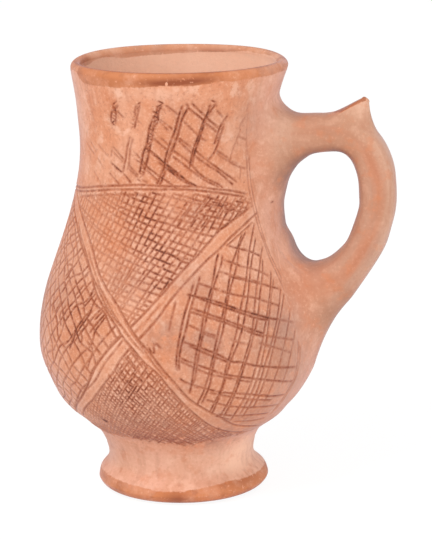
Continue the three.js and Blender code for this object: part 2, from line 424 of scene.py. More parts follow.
def scratch(points, dark=0.5, depth=0.32, width=0.9, field=None, waver=0.14, offset=0.0, broken=0.3):
    """One stroke of the tool. A field says where it cuts, and offset moves it sideways."""
    place, azimuth, z, across, up = along_path(points)
    if len(place) < 4:
        return
    aside = offset + flicker(place, WAVER_PITCH, waver)
    azimuth = azimuth - np.degrees(up * aside / radius_at(z))
    z = height_at(arc_at(z) + across * aside)
    keep = np.ones(len(place), bool) if field is None else field(azimuth, z, random.normal(0, 0.5))
    if not keep.any():
        return
    taper = np.clip(np.minimum(place, place[-1] - place) / TAPER + 0.35, 0, 1)
    force = np.clip(1 + flicker(place, FORCE_PITCH, FORCE_CHANGE), 0.45, 1.25) * taper
    dirt = 1 + flicker(place, DIRT_PITCH, broken) + flicker(place, FINE_DIRT_PITCH, 0.6 * broken)
    dirt = np.clip(dirt, 0.08, 1.5) * taper
    if callable(dark):
        dark = dark(azimuth, z)[keep]
    stamp(azimuth[keep], z[keep], depth * force[keep], dark * dirt[keep], width)


def scratch_list(traced, strength=1.0, **kind):
    for dark, course in traced:
        scratch(course, dark=strength * dark, **kind)


# Lines that divide the pattern, as azimuths and heights: the ring under the neck, the edges of the two
# crossing bands, the border that runs down beside the handle, and the foot of the hatching
RING = places("-180,155 -151,158 -131,161 -108,164 -88,164.5 -70,164 -55,162 -45,160 -36,158")
RING_INNER = places("-180,153 -151,156 -131,159 -108,162 -82,162.8 -68,162 -54,160 -38,156.5")
RING_FAINT = places("-148,154 -124,158 -108,159.5 -95,160")
FALLING_LOWER = places("""
    -180,160 -150,144 -133,131 -125,124 -118,114.5 -112,107 -105,99 -101,93 -96,87 -92,81.5 -87,76.5 -83,70
    -78,62 -72,54 -64,46 -54,41 -39,37 -25,35
""")
FALLING_UPPER = places("""
    -180,166 -150,151 -138,143 -128,135 -122,128 -116,120 -111,114.5 -106,109.5 -102,104 -94,92 -90,87
    -87,82 -80,71.5 -74,62.5 -67,56 -61,52 -53,46 -46,43 -28,39
""")
FALLING_INNER = places("-144,142 -129,129 -121,120 -116,114.5 -110,107 -102,98")
RISING_LOWER = places("""
    -165,30 -150,36 -135,46 -127,52 -120,57 -116,61.5 -112,66 -105,76 -102,82 -98,88 -89,100 -80,113 -76,118
    -70,124 -63,130 -57,134 -48,140 -38,145 -30,148
""")
RISING_UPPER = places("""
    -165,36 -150,41 -138,49 -129,55.5 -125,59 -120,65 -117,70 -113,78 -110,83 -102.5,93 -92,105.5 -83,117
    -78,122.5 -73,128 -68,132 -65,135 -58,141 -54,144 -44,148 -36,151
""")
RISING_INNER = places("-122,62 -115,69 -111,76 -108,81 -104,87 -101,92")
RISING_INNER_UPPER = places("-53,135 -44,140 -35,144")
BORDER = places("-33.5,176 -33,163 -31,145 -27.5,130 -25,115 -22,100 -20.5,88 -21,75 -23,60 -26,45")
BORDER_ABOVE = places("-37,203 -36,192 -34,176")
PATTERN_FOOT = places("-180,36 -128,35 -115,35 -104,34 -91,33 -76,32 -66,32 -54,35 0,36")
BAND_STROKES = strokes("""
    0.42 -117,117 -112,111.5 -107,105 -102,98.5 -97,92 -92,86
    0.36 -101,101 -94,91 -88,81 -83,73.5
    0.36 -97,95 -91,102.5 -85,110
    0.3 -128,130.5 -121,123 -115,115.5
""")


def level(line, azimuth):
    """Height of a dividing line at an azimuth."""
    return np.interp(azimuth, *line.T)


def border(z):
    """Azimuth of the border beside the handle at a height."""
    return np.interp(z, *BORDER[::-1, ::-1].T)


SLOPE_REACH = 1.5


def over(line, azimuth, z):
    """Distance of a place on the wall above a dividing line, square to the line."""
    climb = level(line, azimuth + SLOPE_REACH) - level(line, azimuth - SLOPE_REACH)
    slope = climb / (2 * math.radians(SLOPE_REACH) * radius_at(z))
    return (z - level(line, azimuth)) / np.hypot(1, slope)


def top_field(azimuth, z, slack):
    above = np.minimum(over(RISING_UPPER, azimuth, z), over(FALLING_UPPER, azimuth, z))
    ring = level(RING, azimuth) - 3.4
    return (above > 0.4 + slack) & (z < ring + slack) & (azimuth < border(z) - 2)


def bottom_field(azimuth, z, slack):
    above = np.maximum(over(RISING_LOWER, azimuth, z), over(FALLING_LOWER, azimuth, z))
    return (above < slack - 0.4) & (z > level(PATTERN_FOOT, azimuth) + 1.5 * slack)


def left_field(azimuth, z, slack):
    inside = (over(RISING_UPPER, azimuth, z) > slack + 0.3) & (over(FALLING_LOWER, azimuth, z) < slack - 0.3)
    return inside & (azimuth < -97)


def off_falling_band(azimuth, z, slack):
    return (over(FALLING_LOWER, azimuth, z) < 0.3) | (over(FALLING_UPPER, azimuth, z) > -0.3)


def slant(middle_azimuth, middle_height, angle, reach):
    """Straight line over the unrolled wall through a place, at an angle above the horizontal."""
    run = np.linspace(-reach, reach, 9)
    z = np.clip(middle_height + run * math.sin(math.radians(angle)), 28, LIP_HEIGHT)
    azimuth = middle_azimuth + np.degrees(run * math.cos(math.radians(angle)) / radius_at(z))
    return np.stack([azimuth, z], axis=-1)


def hatch(start, end, height, angles, gap, spread, reach, **kind):
    """Slanting strokes side by side round the wall, uneven in their angle and their gap."""
    place = start
    while place < end:
        angle = np.interp(place, *angles)
        scratch(slant(place, height, angle + random.normal(0, spread), reach), **kind)
        apart_here = gap / math.sin(math.radians(abs(angle))) / radius_at(height)
        place += math.degrees(apart_here) * random.uniform(0.8, 1.2)


def scratch_bands():
    """Lines along the edges of the crossing bands, and the ring and border lines."""
    edge = {"depth": 0.62, "waver": 0.1, "broken": 0.15}
    for line in (FALLING_LOWER, FALLING_UPPER):
        scratch(line, dark=0.62, **edge)
    for line in (RISING_LOWER, RISING_UPPER):
        scratch(line, dark=0.6, field=off_falling_band, **edge)
    for line in (FALLING_INNER, RISING_INNER, RISING_INNER_UPPER):
        scratch(line, dark=0.46, depth=0.48, width=0.8, waver=0.1)
    scratch_list(BAND_STROKES, depth=0.34, width=0.8, broken=0.35)
    scratch(RING, dark=0.62, depth=0.5, width=0.82, broken=0.2)
    scratch(RING_INNER, dark=0.62, depth=0.46, width=0.82, broken=0.25)
    scratch(RING_FAINT, dark=0.45, depth=0.4, width=0.8)
    for offset in (-0.85, 0.85):
        scratch(BORDER, dark=0.32, depth=0.42, offset=offset)
    scratch(BORDER_ABOVE, dark=0.2, depth=0.18)


NECK_COMBS = strokes("""
    0.8 -116,203 -114,200 -115,194
    0.8 -112,203 -117,199 -118,194
    0.6 -113,200 -109,197
    0.5 -101,204 -102,200 -102,198
    0.6 -99,204 -100,201 -101,198 -103,192
    0.6 -106,188 -108,182 -109,177 -111,170
    0.5 -104,187 -106,182 -107,174 -108,171
    0.95 -89,204 -90,200 -92,197
    0.95 -87,204 -89,200 -89,196
    0.85 -92,197 -94,192 -95,187 -96,184 -98,180 -99,175 -100,170
    0.85 -89,196 -92,192 -93,187 -95,180 -96,176 -98,169
    0.8 -76,204 -78,198 -80,191 -83,184 -85,178 -86,173 -90,165
    0.8 -74,205 -73,203 -76,197 -78,190 -81,182 -84,176 -85,172 -88,165
    0.9 -61,204 -62,200 -64,196 -66,190 -69,183 -70,179 -71,174 -72,172
    0.9 -58,204 -61,200 -63,197 -65,190 -68,182 -70,175
    0.75 -50,198 -52,196 -55,191 -57,184
    0.7 -52,193 -54,187 -56,182 -58,179 -61,176
    0.28 -38,196 -41,192 -41,189 -43,185 -46,178 -47,174
    0.28 -39,171 -40,165
""")
NECK_SLANTS = strokes("""
    0.7 -71,205 -63,198 -62,197 -55,192
    0.7 -73,203 -65,197 -63,195 -56,190
    0.5 -57,201 -53,197
    0.7 -85,204 -83,203 -78,199
    0.65 -75,196 -67,189 -62,186
    0.6 -91,199 -89,197 -83,191
    0.6 -88,197 -81,192
    0.7 -78,188 -69,182 -61,176 -56,173 -50,169 -42,164
    0.7 -78,187 -70,180 -61,174 -54,170 -45,163
    0.5 -56,181 -49,177 -46,174 -39,171 -35,170
    0.45 -56,180 -50,176 -41,173
    0.6 -92,188 -87,184 -84,182
    0.6 -88,188 -85,186 -81,182 -77,179
    0.75 -81,182 -72,176 -64,169 -54,164 -52,162
    0.7 -81,179 -72,173 -63,167 -54,163
    0.95 -97,184 -94,182 -86,176 -83,174 -77,170 -73,167 -67,164
    0.9 -97,183.3 -90,178.5 -83,173 -75,167.8 -67,163.2
    0.9 -89,176 -83,172 -77,168 -69,164
    0.7 -103,180 -98,176 -96,174 -88,169 -86,168 -81,165 -78,163
    0.65 -103,177 -99,175 -96,172 -89,167
    0.5 -118,182 -110,176
    0.45 -119,180 -111,175
    0.5 -107,174 -101,169
    0.5 -107,172 -101,168
    0.5 -98,167 -95,166
    0.45 -119,181 -120,177
    0.85 -120,174 -110,169 -105,165
    0.5 -121,169 -113,164
    0.3 -101,196 -98,194
    0.3 -144,181 -135,176
    0.3 -139,182 -133,178
    0.3 -131,182 -123,177
    0.3 -132,175 -126,170
    0.3 -143,187 -144,185
    0.3 -135,168 -128,163
    0.3 -42,187 -40,186 -35,184
    0.25 -43,185 -41,182
""")
# Combs whose two lines are joined by crumbling rungs: both ends, how wide, and how dark
COMB_RUNGS = (
    ((-114, 204), (-117, 193), 3.4, 0.8), ((-100, 205), (-104, 192), 2.6, 0.7),
    ((-87.5, 206), (-91, 197), 3.0, 1.0), ((-91, 196), (-96, 179), 2.8, 0.8),
    ((-59, 205), (-63, 197), 2.8, 0.8), ((-52, 196), (-57, 183), 2.4, 0.6),
    ((-97, 176), (-100, 166), 2.6, 0.55),
)
COMB_SMEARS = strokes("""
    0.45 -88,203 -91,196 -93.5,189
    0.3 -94,186 -97.5,174
    0.3 -75,202 -79,190 -84,177
    0.35 -60,202 -65,191 -69,180
""")


def scratch_neck():
    """Combs drawn down the neck, crossed by slanting lines."""
    scratch_list(COMB_SMEARS, depth=0.12, width=1.6, broken=0.5)
    scratch_list(NECK_COMBS, depth=0.42, width=0.95, broken=0.2, waver=0.06)
    scratch_list(NECK_SLANTS, depth=0.38, width=0.85, broken=0.2, waver=0.06)
    for start, end, width, dark in COMB_RUNGS:
        for share in np.arange(0, 1, 1.5 / (start[1] - end[1])):
            azimuth, z = np.array(start) + share * np.subtract(end, start) + random.normal(0, 0.3, 2)
            rung = slant(azimuth, z, random.choice((35, -25)), width / 2)
            scratch(rung, dark, depth=0.34, width=0.6, broken=0.5)


TOP_STROKES = strokes("""
    0.8 -59,158 -62,155 -66,151
    0.8 -52,158 -56,154
    0.7 -49,155 -52,152
    0.7 -43,153 -48,151 -52,150
    0.75 -36,151 -43,148 -49,146 -54,144
    0.7 -40,152 -49,146 -55,143 -58,141
    0.9 -84,134 -79,131 -76,129 -72,128
""")
TOP_MIDDLE = -97
TOP_SLANT = -17
TOP_CRUMBS = 26


def top_darkness(azimuth, z):
    """Faint on the left, dark down the middle and towards the handle."""
    middle = bell(azimuth + 0.35 * (z - 135), -89, 13)
    return 0.3 + 0.58 * middle + 0.44 * bell(azimuth, -55, 16)


def scratch_top():
    """Dense hatching between the upper arms of the bands, darkest towards the handle."""
    kind = {"dark": top_darkness, "depth": 0.34, "width": 0.8, "field": top_field}
    angles = (-150, -97, -85, -45), (76, 66, 54, 50)
    hatch(start=-158, end=-30, height=140, angles=angles, gap=2.9, spread=1, reach=60, **kind)
    height = 70.0
    while height < 200:
        scratch(slant(TOP_MIDDLE, height, TOP_SLANT + random.normal(0, 1.5), 75), broken=0.35, **kind)
        height += 3.2 * random.uniform(0.8, 1.2)
    for _ in range(TOP_CRUMBS):
        azimuth, z = random.uniform(-78, -40), random.uniform(138, 160)
        painted_crumb_glint = slant(azimuth, z, random.choice((50, TOP_SLANT)), 3)
        scratch(painted_crumb_glint, dark=0.7, depth=0.34, width=0.7, field=top_field, broken=0.5)
    scratch_list(TOP_STROKES, depth=0.38, width=0.85, broken=0.25)


RIGHT_STRENGTH = 1.12
RIGHT_STROKES = strokes("""
    0.6 -79,111 -81,103 -82,97
    0.8 -71,119 -74,110 -76,103 -78,92 -79,84 -79,78
    0.75 -68,122 -70,116 -73,107 -75,98 -77,90 -78,83 -78,78
    0.8 -58,132 -60,127 -63,117 -67,106 -69,96 -71,87 -72,81 -73,73 -74,66
    0.75 -56,131 -57,127 -62,117 -66,104 -68,96 -70,87 -72,74 -73,71
    0.75 -43,140 -50,129 -52,126 -56,114 -59,105 -62,95 -65,82 -68,68 -71,59
    0.7 -41,140 -46,134 -49,126 -55,114 -58,105 -60,96 -64,82 -66,70 -69,60
    0.7 -34,143 -40,132 -44,123 -48,113 -52,103 -54,95 -59,79 -61,68 -65,55
    0.7 -35,136 -42,123 -46,112 -50,100 -54,89 -58,79 -62,62 -64,53
    0.65 -31,132 -36,124 -41,114 -44,105 -47,94 -53,76 -56,64 -60,51
    0.65 -33,126 -39,113 -43,101 -47,90 -52,76 -55,64 -58,51
    0.6 -30,120 -36,106 -41,93 -46,77 -49,65 -54,48
    0.5 -30,116 -35,106 -41,86 -46,68 -50,52
    0.55 -27,111 -33,98 -38,86 -42,76 -45,62 -48,49
    0.5 -26,108 -32,96 -37,84 -41,70 -44,54
    0.45 -24,100 -30,86 -35,72 -39,56
    0.4 -22,92 -27,78 -31,64
    0.75 -52,135 -46,133 -40,131 -34,128
    0.6 -56,129 -51,127 -47,125 -41,123 -35,120 -32,118
    0.6 -59,124 -52,121 -44,118 -38,116
    0.6 -54,121 -40,116 -28,111
    0.65 -69,119 -64,117 -57,114 -49,111 -42,109 -30,103
    0.9 -74,114 -64,111 -51,105 -38,99 -32,97
    0.85 -71,113 -58,107 -44,100 -38,98
    0.75 -73,108 -60,102 -45,94 -41,92
    0.7 -73,106 -60,100.5 -46,93 -41,90.5
    0.55 -74,100 -69,97 -63,94
    0.5 -69,96 -63,93
    0.35 -57,92 -54,90 -49,88
    0.75 -76,92 -64,86 -57,81 -53,80 -46,77 -32,73 -23,71
    0.65 -74,90 -64,84 -58,80.5
    0.7 -79,85 -66,78 -60,75 -48,71 -29,65 -23,63.5
    0.6 -78,83 -67,76 -62,74 -48,69
    0.65 -78,74 -74,71 -62,66 -46,62 -37,59 -25,56.5
    0.5 -72,69.5 -67,68
    0.5 -54,64 -38,60
    0.6 -67,62 -56,57 -42,54 -32,52 -26,51
    0.7 -61,53 -53,51 -40,49 -30,47
    0.5 -66,66 -52,61 -34,56
    0.5 -52,47 -40,45 -30,44
    0.45 -32,97 -23,93.5
    0.45 -41,91 -24,85
    0.4 -44,88 -26,79
    0.6 -62,52 -55,49
""")


def scratch_right():
    """Coarse net of double lines on the side nearer the handle."""
    scratch_list(RIGHT_STROKES, RIGHT_STRENGTH, depth=0.4, width=0.85, broken=0.2, waver=0.06)


LEFT_STROKES = strokes("""
    0.7 -118,113 -122,107
    0.7 -117,112 -123,104
    0.9 -118,104 -121,100 -124,95 -126,89 -127,85
    0.9 -117,104 -120,99 -123,94 -126,88 -128,83
    0.8 -110,104 -112,101 -116,95 -117,93
    0.8 -112,104 -115,100
    0.7 -125,115 -129,109
    0.7 -146,108 -149,103 -147,99
    0.7 -142,106 -145,101 -143,97
    0.7 -138,104 -141,99 -139,94
    0.65 -134,103 -137,98 -135,93
    0.6 -124,120 -129,116
    0.7 -141,122 -138,122 -138,120 -141,116
    0.6 -123,94 -121,91 -121,87
    0.6 -119,100 -118,98 -115,97
    0.6 -118,89 -115,85 -117,78 -118,75
""")


def left_darkness(azimuth, z):
    """Darkest in the middle of the field, and fainter above and below."""
    return 0.52 + 0.34 * bell(azimuth, -126, 16) * bell(z, 100, 17)


def scratch_left():
    """Net of curved lozenges on the side away from the handle."""
    for end, gap, spread, angle in ((-50, 6.2, 0.4, 50), (-60, 6.5, 0.5, -48)):
        for place in np.arange(-262, end, gap):
            scratch(slant(place + random.normal(0, spread), 95, angle, 75), dark=left_darkness,
                    depth=0.4, width=0.85, field=left_field, waver=1.1)
    scratch_list(LEFT_STROKES, depth=0.42, width=0.85, broken=0.2, waver=0.08)


BOTTOM_STROKES = strokes("""
    0.9 -97,74 -95,74 -92,71
    0.8 -99,70 -96,68
    0.85 -90,89 -89,87 -88,87 -88,90
    0.8 -88,90 -87,91 -85,89
""")


def bottom_darkness(azimuth, z):
    """Darkest under the crossing, dark again along the foot of the hatching, and faint on the left."""
    middle = bell(azimuth, -98, 13) * bell(z, 67, 13)
    foot = bell(z, 34, 3) * bell(azimuth, -92, 30)
    return 0.43 + 0.36 * middle + 0.22 * foot - 0.18 * bell(azimuth, -130, 14)


def scratch_bottom():
    """Fine crossed hatching under the crossing."""
    for angle in (54, -50):
        hatch(start=-215, end=10, height=60, angles=((0,), (angle,)), gap=1.9, spread=1.2, reach=45,
              dark=bottom_darkness, depth=0.42, width=0.7, field=bottom_field, broken=0.5)
    scratch_list(BOTTOM_STROKES, depth=0.36, width=0.85)


BELLY_PIT = places("-120,47 -118,45")
NECK_PIT = places("-16,200.6 -13.4,199.4")


def scratch_pits():
    """Single small flaws, not mirrored."""
    scratch(BELLY_PIT, dark=0.9, depth=0.1, width=2.0)
    scratch(NECK_PIT, dark=1.2, depth=0.4, width=0.8)


def scratch_all():
    """The pattern on the side that is seen, and its like on the far side of the handle's plane."""
    sides = []
    for _ in range(2):
        cut[:], ink[:] = 0, 0
        for draw in (scratch_bands, scratch_neck, scratch_top, scratch_right, scratch_left, scratch_bottom):
            draw()
        sides.append((cut.copy(), ink.copy()))
    near = np.arange(COLUMNS) >= COLUMNS // 2
    mirrored = (-np.arange(COLUMNS)) % COLUMNS
    for grid, near_grid, far_grid in zip((cut, ink), *sides):
        grid[:] = np.where(near, near_grid, far_grid[:, mirrored])
    scratch_pits()


def blurred(grid, size):
    """Values over the wall, blurred by a size in millimetres."""
    reach = math.ceil(8 * size)
    wrapped = np.concatenate([grid[:, -reach:], grid, grid[:, :reach]], axis=1)
    return smoothed(smoothed(wrapped, size / ROW_STEP).T, size / COLUMN_STEP).T[:, reach:-reach]


# Dirt washed out round the strokes, and clay thrown up beside them: how strong, and how far
WASH = 2.6
WASH_REACH = 2.6
BURR = 0.7
BURR_REACH = 1.1

scratch_all()
wash = np.clip(blurred(ink, WASH_REACH) * WASH, 0, 1)
cut -= BURR * blurred(cut, BURR_REACH)


# Meshes

def put(name, data):
    """New object of the scene."""
    holder = bpy.data.objects.new(name, data)
    bpy.context.scene.collection.objects.link(holder)
    return holder


def grid_faces(rows, columns, looped):
    """Four-sided faces between closed rings, and their corners' spots on the bake map."""
    row, column = np.meshgrid(np.arange(rows if looped else rows - 1), np.arange(columns), indexing="ij")
    above = (row + 1) % rows * columns
    beside = (column + 1) % columns
    corners = [row * columns + column, row * columns + beside, above + beside, above + column]
    u = np.stack([column, column + 1, column + 1, column], axis=-1) / columns
    v = np.stack([row, row, row + 1, row + 1], axis=-1) / rows
    return np.stack(corners, axis=-1).reshape(-1, 4), np.stack([u, v], axis=-1).reshape(-1, 4, 2)


def fan_faces(rows, columns, at_end):
    """Three-sided faces from an end ring to its middle point, and their corners' spots on the bake map."""
    first = (rows - 1) * columns if at_end else 0
    edge = (rows - 1) / rows if at_end else 0.0
    column = np.arange(columns)
    corners = [first + column, first + (column + 1) % columns, np.full(columns, rows * columns + at_end)]
    u = np.stack([column, column + 1, column + 0.5], axis=-1) / columns
    v = np.broadcast_to((edge, edge, min(edge + 0.01, 1)), u.shape)
    order = [0, 1, 2] if at_end else [1, 0, 2]
    return np.stack(corners, axis=-1)[:, order], np.stack([u, v], axis=-1)[:, order]


def signed_volume(points, faces):
    """A measure that is below zero where the faces are inside out."""
    total = 0
    for corners, _ in faces:
        for second in range(1, corners.shape[1] - 1):
            a, b, c = (points[corners[:, index]] for index in (0, second, second + 1))
            total += np.einsum("ij,ij->i", a, np.cross(b, c)).sum()
    return total


def build_piece(node, rings, attributes, looped=False, sharp_rows=()):
    """Closed body over rings of points, for the place of its node."""
    rows, columns, _ = rings.shape
    points = rings.reshape(-1, 3)
    faces = [grid_faces(rows, columns, looped)]
    values = {}
    for name, value in attributes.items():
        tail = np.shape(value)[2:]
        values[name] = np.broadcast_to(value, (rows, columns, *tail)).reshape(-1, *tail)
    if not looped:
        points = np.concatenate([points, rings[[0, -1]].mean(axis=1)])
        faces += [fan_faces(rows, columns, False), fan_faces(rows, columns, True)]
        values = {name: np.concatenate([value, value[:1], value[-1:]]) for name, value in values.items()}
    if signed_volume(points, faces) < 0:
        faces = [(corners[:, ::-1], spots[:, ::-1]) for corners, spots in faces]
    sizes = np.concatenate([np.full(len(corners), corners.shape[1]) for corners, _ in faces])
    mesh = bpy.data.meshes.new(node + "_skin")
    mesh.vertices.add(len(points))
    mesh.vertices.foreach_set("co", (points * MM).astype(np.float32).reshape(-1))
    around = np.concatenate([corners.reshape(-1) for corners, _ in faces])
    mesh.loops.add(len(around))
    mesh.loops.foreach_set("vertex_index", around.astype(np.int32))
    mesh.polygons.add(len(sizes))
    mesh.polygons.foreach_set("loop_start", (np.cumsum(sizes) - sizes).astype(np.int32))
    mesh.update(calc_edges=True)
    mesh.validate()
    spots = np.concatenate([spots.reshape(-1) for _, spots in faces])
    mesh.uv_layers.new(name="OFBake").uv.foreach_set("vector", spots.astype(np.float32))
    for name, value in values.items():
        kind, field = ("FLOAT_VECTOR", "vector") if value.ndim == 2 else ("FLOAT", "value")
        layer = mesh.attributes.new(name, kind, "POINT")
        layer.data.foreach_set(field, value.astype(np.float32).reshape(-1))
    mark_sharp(mesh, rows, columns, sharp_rows)
    return put(node + "_fired", mesh)


def mark_sharp(mesh, rows, columns, sharp_rows):
    """Sharp edges along some of the rings, so that neighbours shade as one surface there."""
    edges = np.zeros(len(mesh.edges) * 2, np.int32)
    mesh.edges.foreach_get("vertices", edges)
    edges = edges.reshape(-1, 2)
    row = edges // columns
    wanted = [index % rows for index in sharp_rows]
    sharp = (row[:, 0] == row[:, 1]) & np.isin(row[:, 0], wanted) & (edges.max(axis=1) < rows * columns)
    mesh.attributes.new("sharp_edge", "BOOLEAN", "EDGE").data.foreach_set("value", sharp)


# Paint: how the clay's colour changes over the jug

# Patches of painted shade, of warm orange, and of paler clay and painted light, each with its place, its
# size and how strong it is
SHADES = (
    ((66, -8, 165), (8, 12, 4), 0.5), ((57, -10, 152), (5, 9, 12), 0.3), ((88, -4, 93), (14, 12, 14), 0.45),
    ((98, -8, 122), (12, 12, 20), 0.3), ((-53, -8, 185), (9, 18, 22), 0.4),
    ((-66, -18, 96), (10, 18, 22), 0.5), ((6, -68, 95), (10, 8, 8), 0.5), ((20, -66, 88), (12, 10, 12), 0.3),
    ((36, -44, 48), (22, 16, 10), 0.45), ((20, -34, 32), (14, 12, 4), 0.5),
    ((60, -30, 66), (18, 18, 24), 0.5), ((50, -46, 92), (10, 14, 18), 0.35),
    ((60, -34, 94), (8, 10, 9), 0.4), ((28, -62, 90), (12, 10, 12), 0.35),
    ((-51, -42, 108), (8, 12, 9), 0.3), ((16, -49, 152), (9, 9, 6), 0.25),
    ((20, -58, 118), (14, 10, 10), 0.35), ((42, -30, 194), (12, 12, 16), 0.35),
    ((-14, -60, 120), (12, 10, 8), 0.3), ((14, -64, 70), (10, 10, 8), 0.25),
    ((22, -30, 27), (9, 12, 5), 0.2), ((2, -54, 207), (24, 14, 5), 0.12), ((0, 0, 38), (80, 80, 4), 0.5),
    ((-3, -59, 46), (22, 10, 5), 0.3),
)
# The first warm patch, all round the resting edge, darkens the slip there: painted shade where the jug meets
# the floor
WARM_PATCHES = (
    ((0, 0, 0), (80, 80, 1.8), 0.9), ((-25, -45, 206), (11, 10, 6), 1.0), ((-36, -38, 196), (7, 9, 14), 0.5),
    ((8, -48, 172), (22, 12, 16), 0.4), ((4, -54, 215.0), (16, 10, 2.4), 1.0),
    ((22, -50, 216.4), (14, 10, 2.4), 0.8), ((6, -44, 4), (7, 8, 4), 0.9), ((36, -24, 9), (10, 12, 3), 0.45),
    ((-38, -24, 8), (7, 12, 3), 0.7), ((44, -24, 182), (6, 8, 14), 0.3), ((62, -12, 158), (7, 9, 10), 0.5),
    ((66, -20, 112), (10, 12, 14), 0.35), ((-30, -42, 152), (12, 12, 10), 0.5),
    ((-28, -46, 215), (16, 10, 3), 0.25), ((-22, -50, 138), (10, 12, 12), 0.8),
    ((14, -49, 154), (9, 10, 6), 0.5), ((38, -53, 108), (12, 14, 14), 0.4),
    ((-40, -57, 90), (14, 14, 16), 0.4), ((20, -62, 80), (30, 20, 16), 0.4),
    ((80, -12, 108), (14, 10, 10), 0.5),
)
# Paler clay with painted light among it, most of all on the foot's right side and in the hollow where the
# arm's root meets the neck
PALE_AND_LIT_PATCHES = (
    ((93, 0, 198), (8, 10, 8), 0.6), ((0, 0, 20), (80, 80, 11), 0.5), ((38, -16, 16), (14, 24, 14), 1.0),
    ((2, -53, 208.5), (22, 20, 4), 0.4), ((6, -54.5, 215), (0.9, 3, 1.2), 1.0),
    ((-38, -42, 45), (9, 10, 6), 0.6), ((-10, -62, 60), (24, 14, 11), 0.35),
    ((-44, -26, 200), (6, 14, 18), 0.5), ((-50, -26, 48), (12, 16, 10), 0.5),
    ((-9, -67, 112), (8, 8, 8), 0.4), ((60, -18, 136), (6, 8, 14), 0.5), ((-4, -58, 128), (9, 12, 14), 0.3),
    ((54, -14, 188), (9, 12, 11), 0.3), ((46, -40, 128), (8, 12, 12), 0.5),
)

# Where the slip has worn or chipped off the rim, and how many millimetres of its edge that takes
SLIP_WEAR = (((-46, -26, 217), (8, 14, 5), 4.75), ((6, -54.5, 215.0), (0.45, 2.0, 0.65), 9))

# Dark flaw beside the handle's root, and how dark it is
ROOT_FLAW = ((50, -15, 151), (0.6, 1.4, 0.45))
ROOT_FLAW_INK = 1.2

# Painted shade on the wall behind the handle, on its far side: azimuths and heights where it begins and is
# full
BEHIND_HANDLE_SHADE_ROUND = ((-16, 6), (80, 45))
BEHIND_HANDLE_SHADE_UP = ((98, 112), (186, 172))

# Where the pinker clay begins and is full: azimuths beside the handle, and heights on the foot
PLAIN_BESIDE = (44, 22)
PLAIN_BELOW = (36, 26)

# Distance inside the slip's edge: on bare clay, at its most, and as much of it as counts against wear
BARE = -20.0
SLIP_DEEPEST = 20.0
SLIP_COUNTED = 5.0

# Edges of the slip, as azimuths and heights: on the rim, on the foot and inside the mouth
RIM_SLIP_EDGE = places("""
    -180,212.6 -151,212.4 -139,211.4 -112,212 -91,213.5 -71,214 -56,214.8 -38,215 0,215 60,214 180,212.6
""")
FOOT_SLIP_EDGE = places("""
    -180,9 -149,9.6 -120,9.2 -102,8.2 -89,7.8 -78,8 -67,9 -46,10.4 -16,9.8 8,9.6 60,8.5 180,9
""")
INSIDE_SLIP_EDGE = places("""
    -180,212.6 -150,213.5 -90,216.5 0,217.2 56,217.5 75,216 100,214.2 140,212.8 180,212.6
""")


def blob(points, place, size):
    """Soft round patch, full at its place, and its like on the far side of the handle's plane."""
    near = np.stack([points[..., 0], -np.abs(points[..., 1]), points[..., 2]], axis=-1)
    return np.exp(-(((near - np.array(place)) / np.array(size)) ** 2).sum(axis=-1))


def patches_at(points, patches):
    total = sum(amount * blob(points, place, size) for place, size, amount in patches)
    return np.clip(total, 0, 1)


def azimuth_of(points):
    return np.degrees(np.arctan2(points[..., 1], points[..., 0]))


def smoke_at(points):
    """Painted shade: a grey cloud on the wall behind the handle."""
    azimuth = azimuth_of(points)
    z = points[..., 2]
    out = np.hypot(points[..., 0], points[..., 1]) - radius_at(z)
    round_it = smoothstep(*BEHIND_HANDLE_SHADE_ROUND[0], azimuth) * smoothstep(*BEHIND_HANDLE_SHADE_ROUND[1], azimuth)
    up_it = smoothstep(*BEHIND_HANDLE_SHADE_UP[0], z) * smoothstep(*BEHIND_HANDLE_SHADE_UP[1], z)
    return round_it * up_it * smoothstep(16, 6, out)


def plain_at(points):
    """How far the clay has the pinker tone of the handle, from 0 on the patterned side to 1."""
    beside = smoothstep(*PLAIN_BESIDE, np.abs(azimuth_of(points)))
    return np.maximum(beside, smoothstep(*PLAIN_BELOW, points[..., 2]))


def slip_edge(line, turn):
    """Height of an edge of the slip at an azimuth in radians."""
    return level(line, (np.degrees(turn) + 180) % 360 - 180)


def slip_outside(turn, z):
    """Distance inside the slipped edge, in millimetres, below zero where the clay is bare."""
    on_rim = z - slip_edge(RIM_SLIP_EDGE, turn)
    on_foot = slip_edge(FOOT_SLIP_EDGE, turn) - z
    return np.clip(np.maximum(on_rim, on_foot), BARE, SLIP_DEEPEST)


def slip_inside(turn, z):
    return np.clip(z - slip_edge(INSIDE_SLIP_EDGE, turn), BARE, SLIP_DEEPEST)


def paint(points, flow, shade=0.0, warm=0.0, pale_and_lit=0.0, **given):
    """All attributes that the clay's material reads. What isn't given is bare, uncut clay."""
    return {
        "slip": BARE,
        "ink": 0.0,
        "cut": 0.0,
        "wash": 0.0,
        "tone": 0.0,
        "inside": 0.0,
        **given,
        "plain": plain_at(points),
        "shade": np.maximum(np.maximum(patches_at(points, SHADES), smoke_at(points)), shade),
        "warm": np.maximum(patches_at(points, WARM_PATCHES), warm),
        "pale_and_lit": np.maximum(patches_at(points, PALE_AND_LIT_PATCHES), pale_and_lit),
        "flow": flow,
    }


# Wall pieces, each from rows: its rings of points, and what is painted on them

def wall_rows(rings, **given):
    return rings, {"slip": BARE, "ink": 0.0, "cut": 0.0, "wash": 0.0, "inside": 0.0, **given}


def outside_rows(index):
    """Outer rings of a wall piece with their cuts."""
    own = SPANS[index]
    arcs = ROWS[own][:, None]
    rings = wall_point(TURNS, arcs, -cut[own])
    slip = slip_outside(TURNS, height_at(arcs))
    return wall_rows(rings, slip=slip, ink=ink[own], cut=cut[own], wash=wash[own])


def inside_rows(low, high):
    """Inner rings of a wall piece, from its upper seam down to its lower one."""
    steps = max(2, math.ceil((high - low) / INSIDE_STEP))
    heights = np.linspace(high, low, steps + 1)[:, None]
    return wall_rows(inner_point(TURNS, heights), slip=slip_inside(TURNS, heights), inside=1.0)


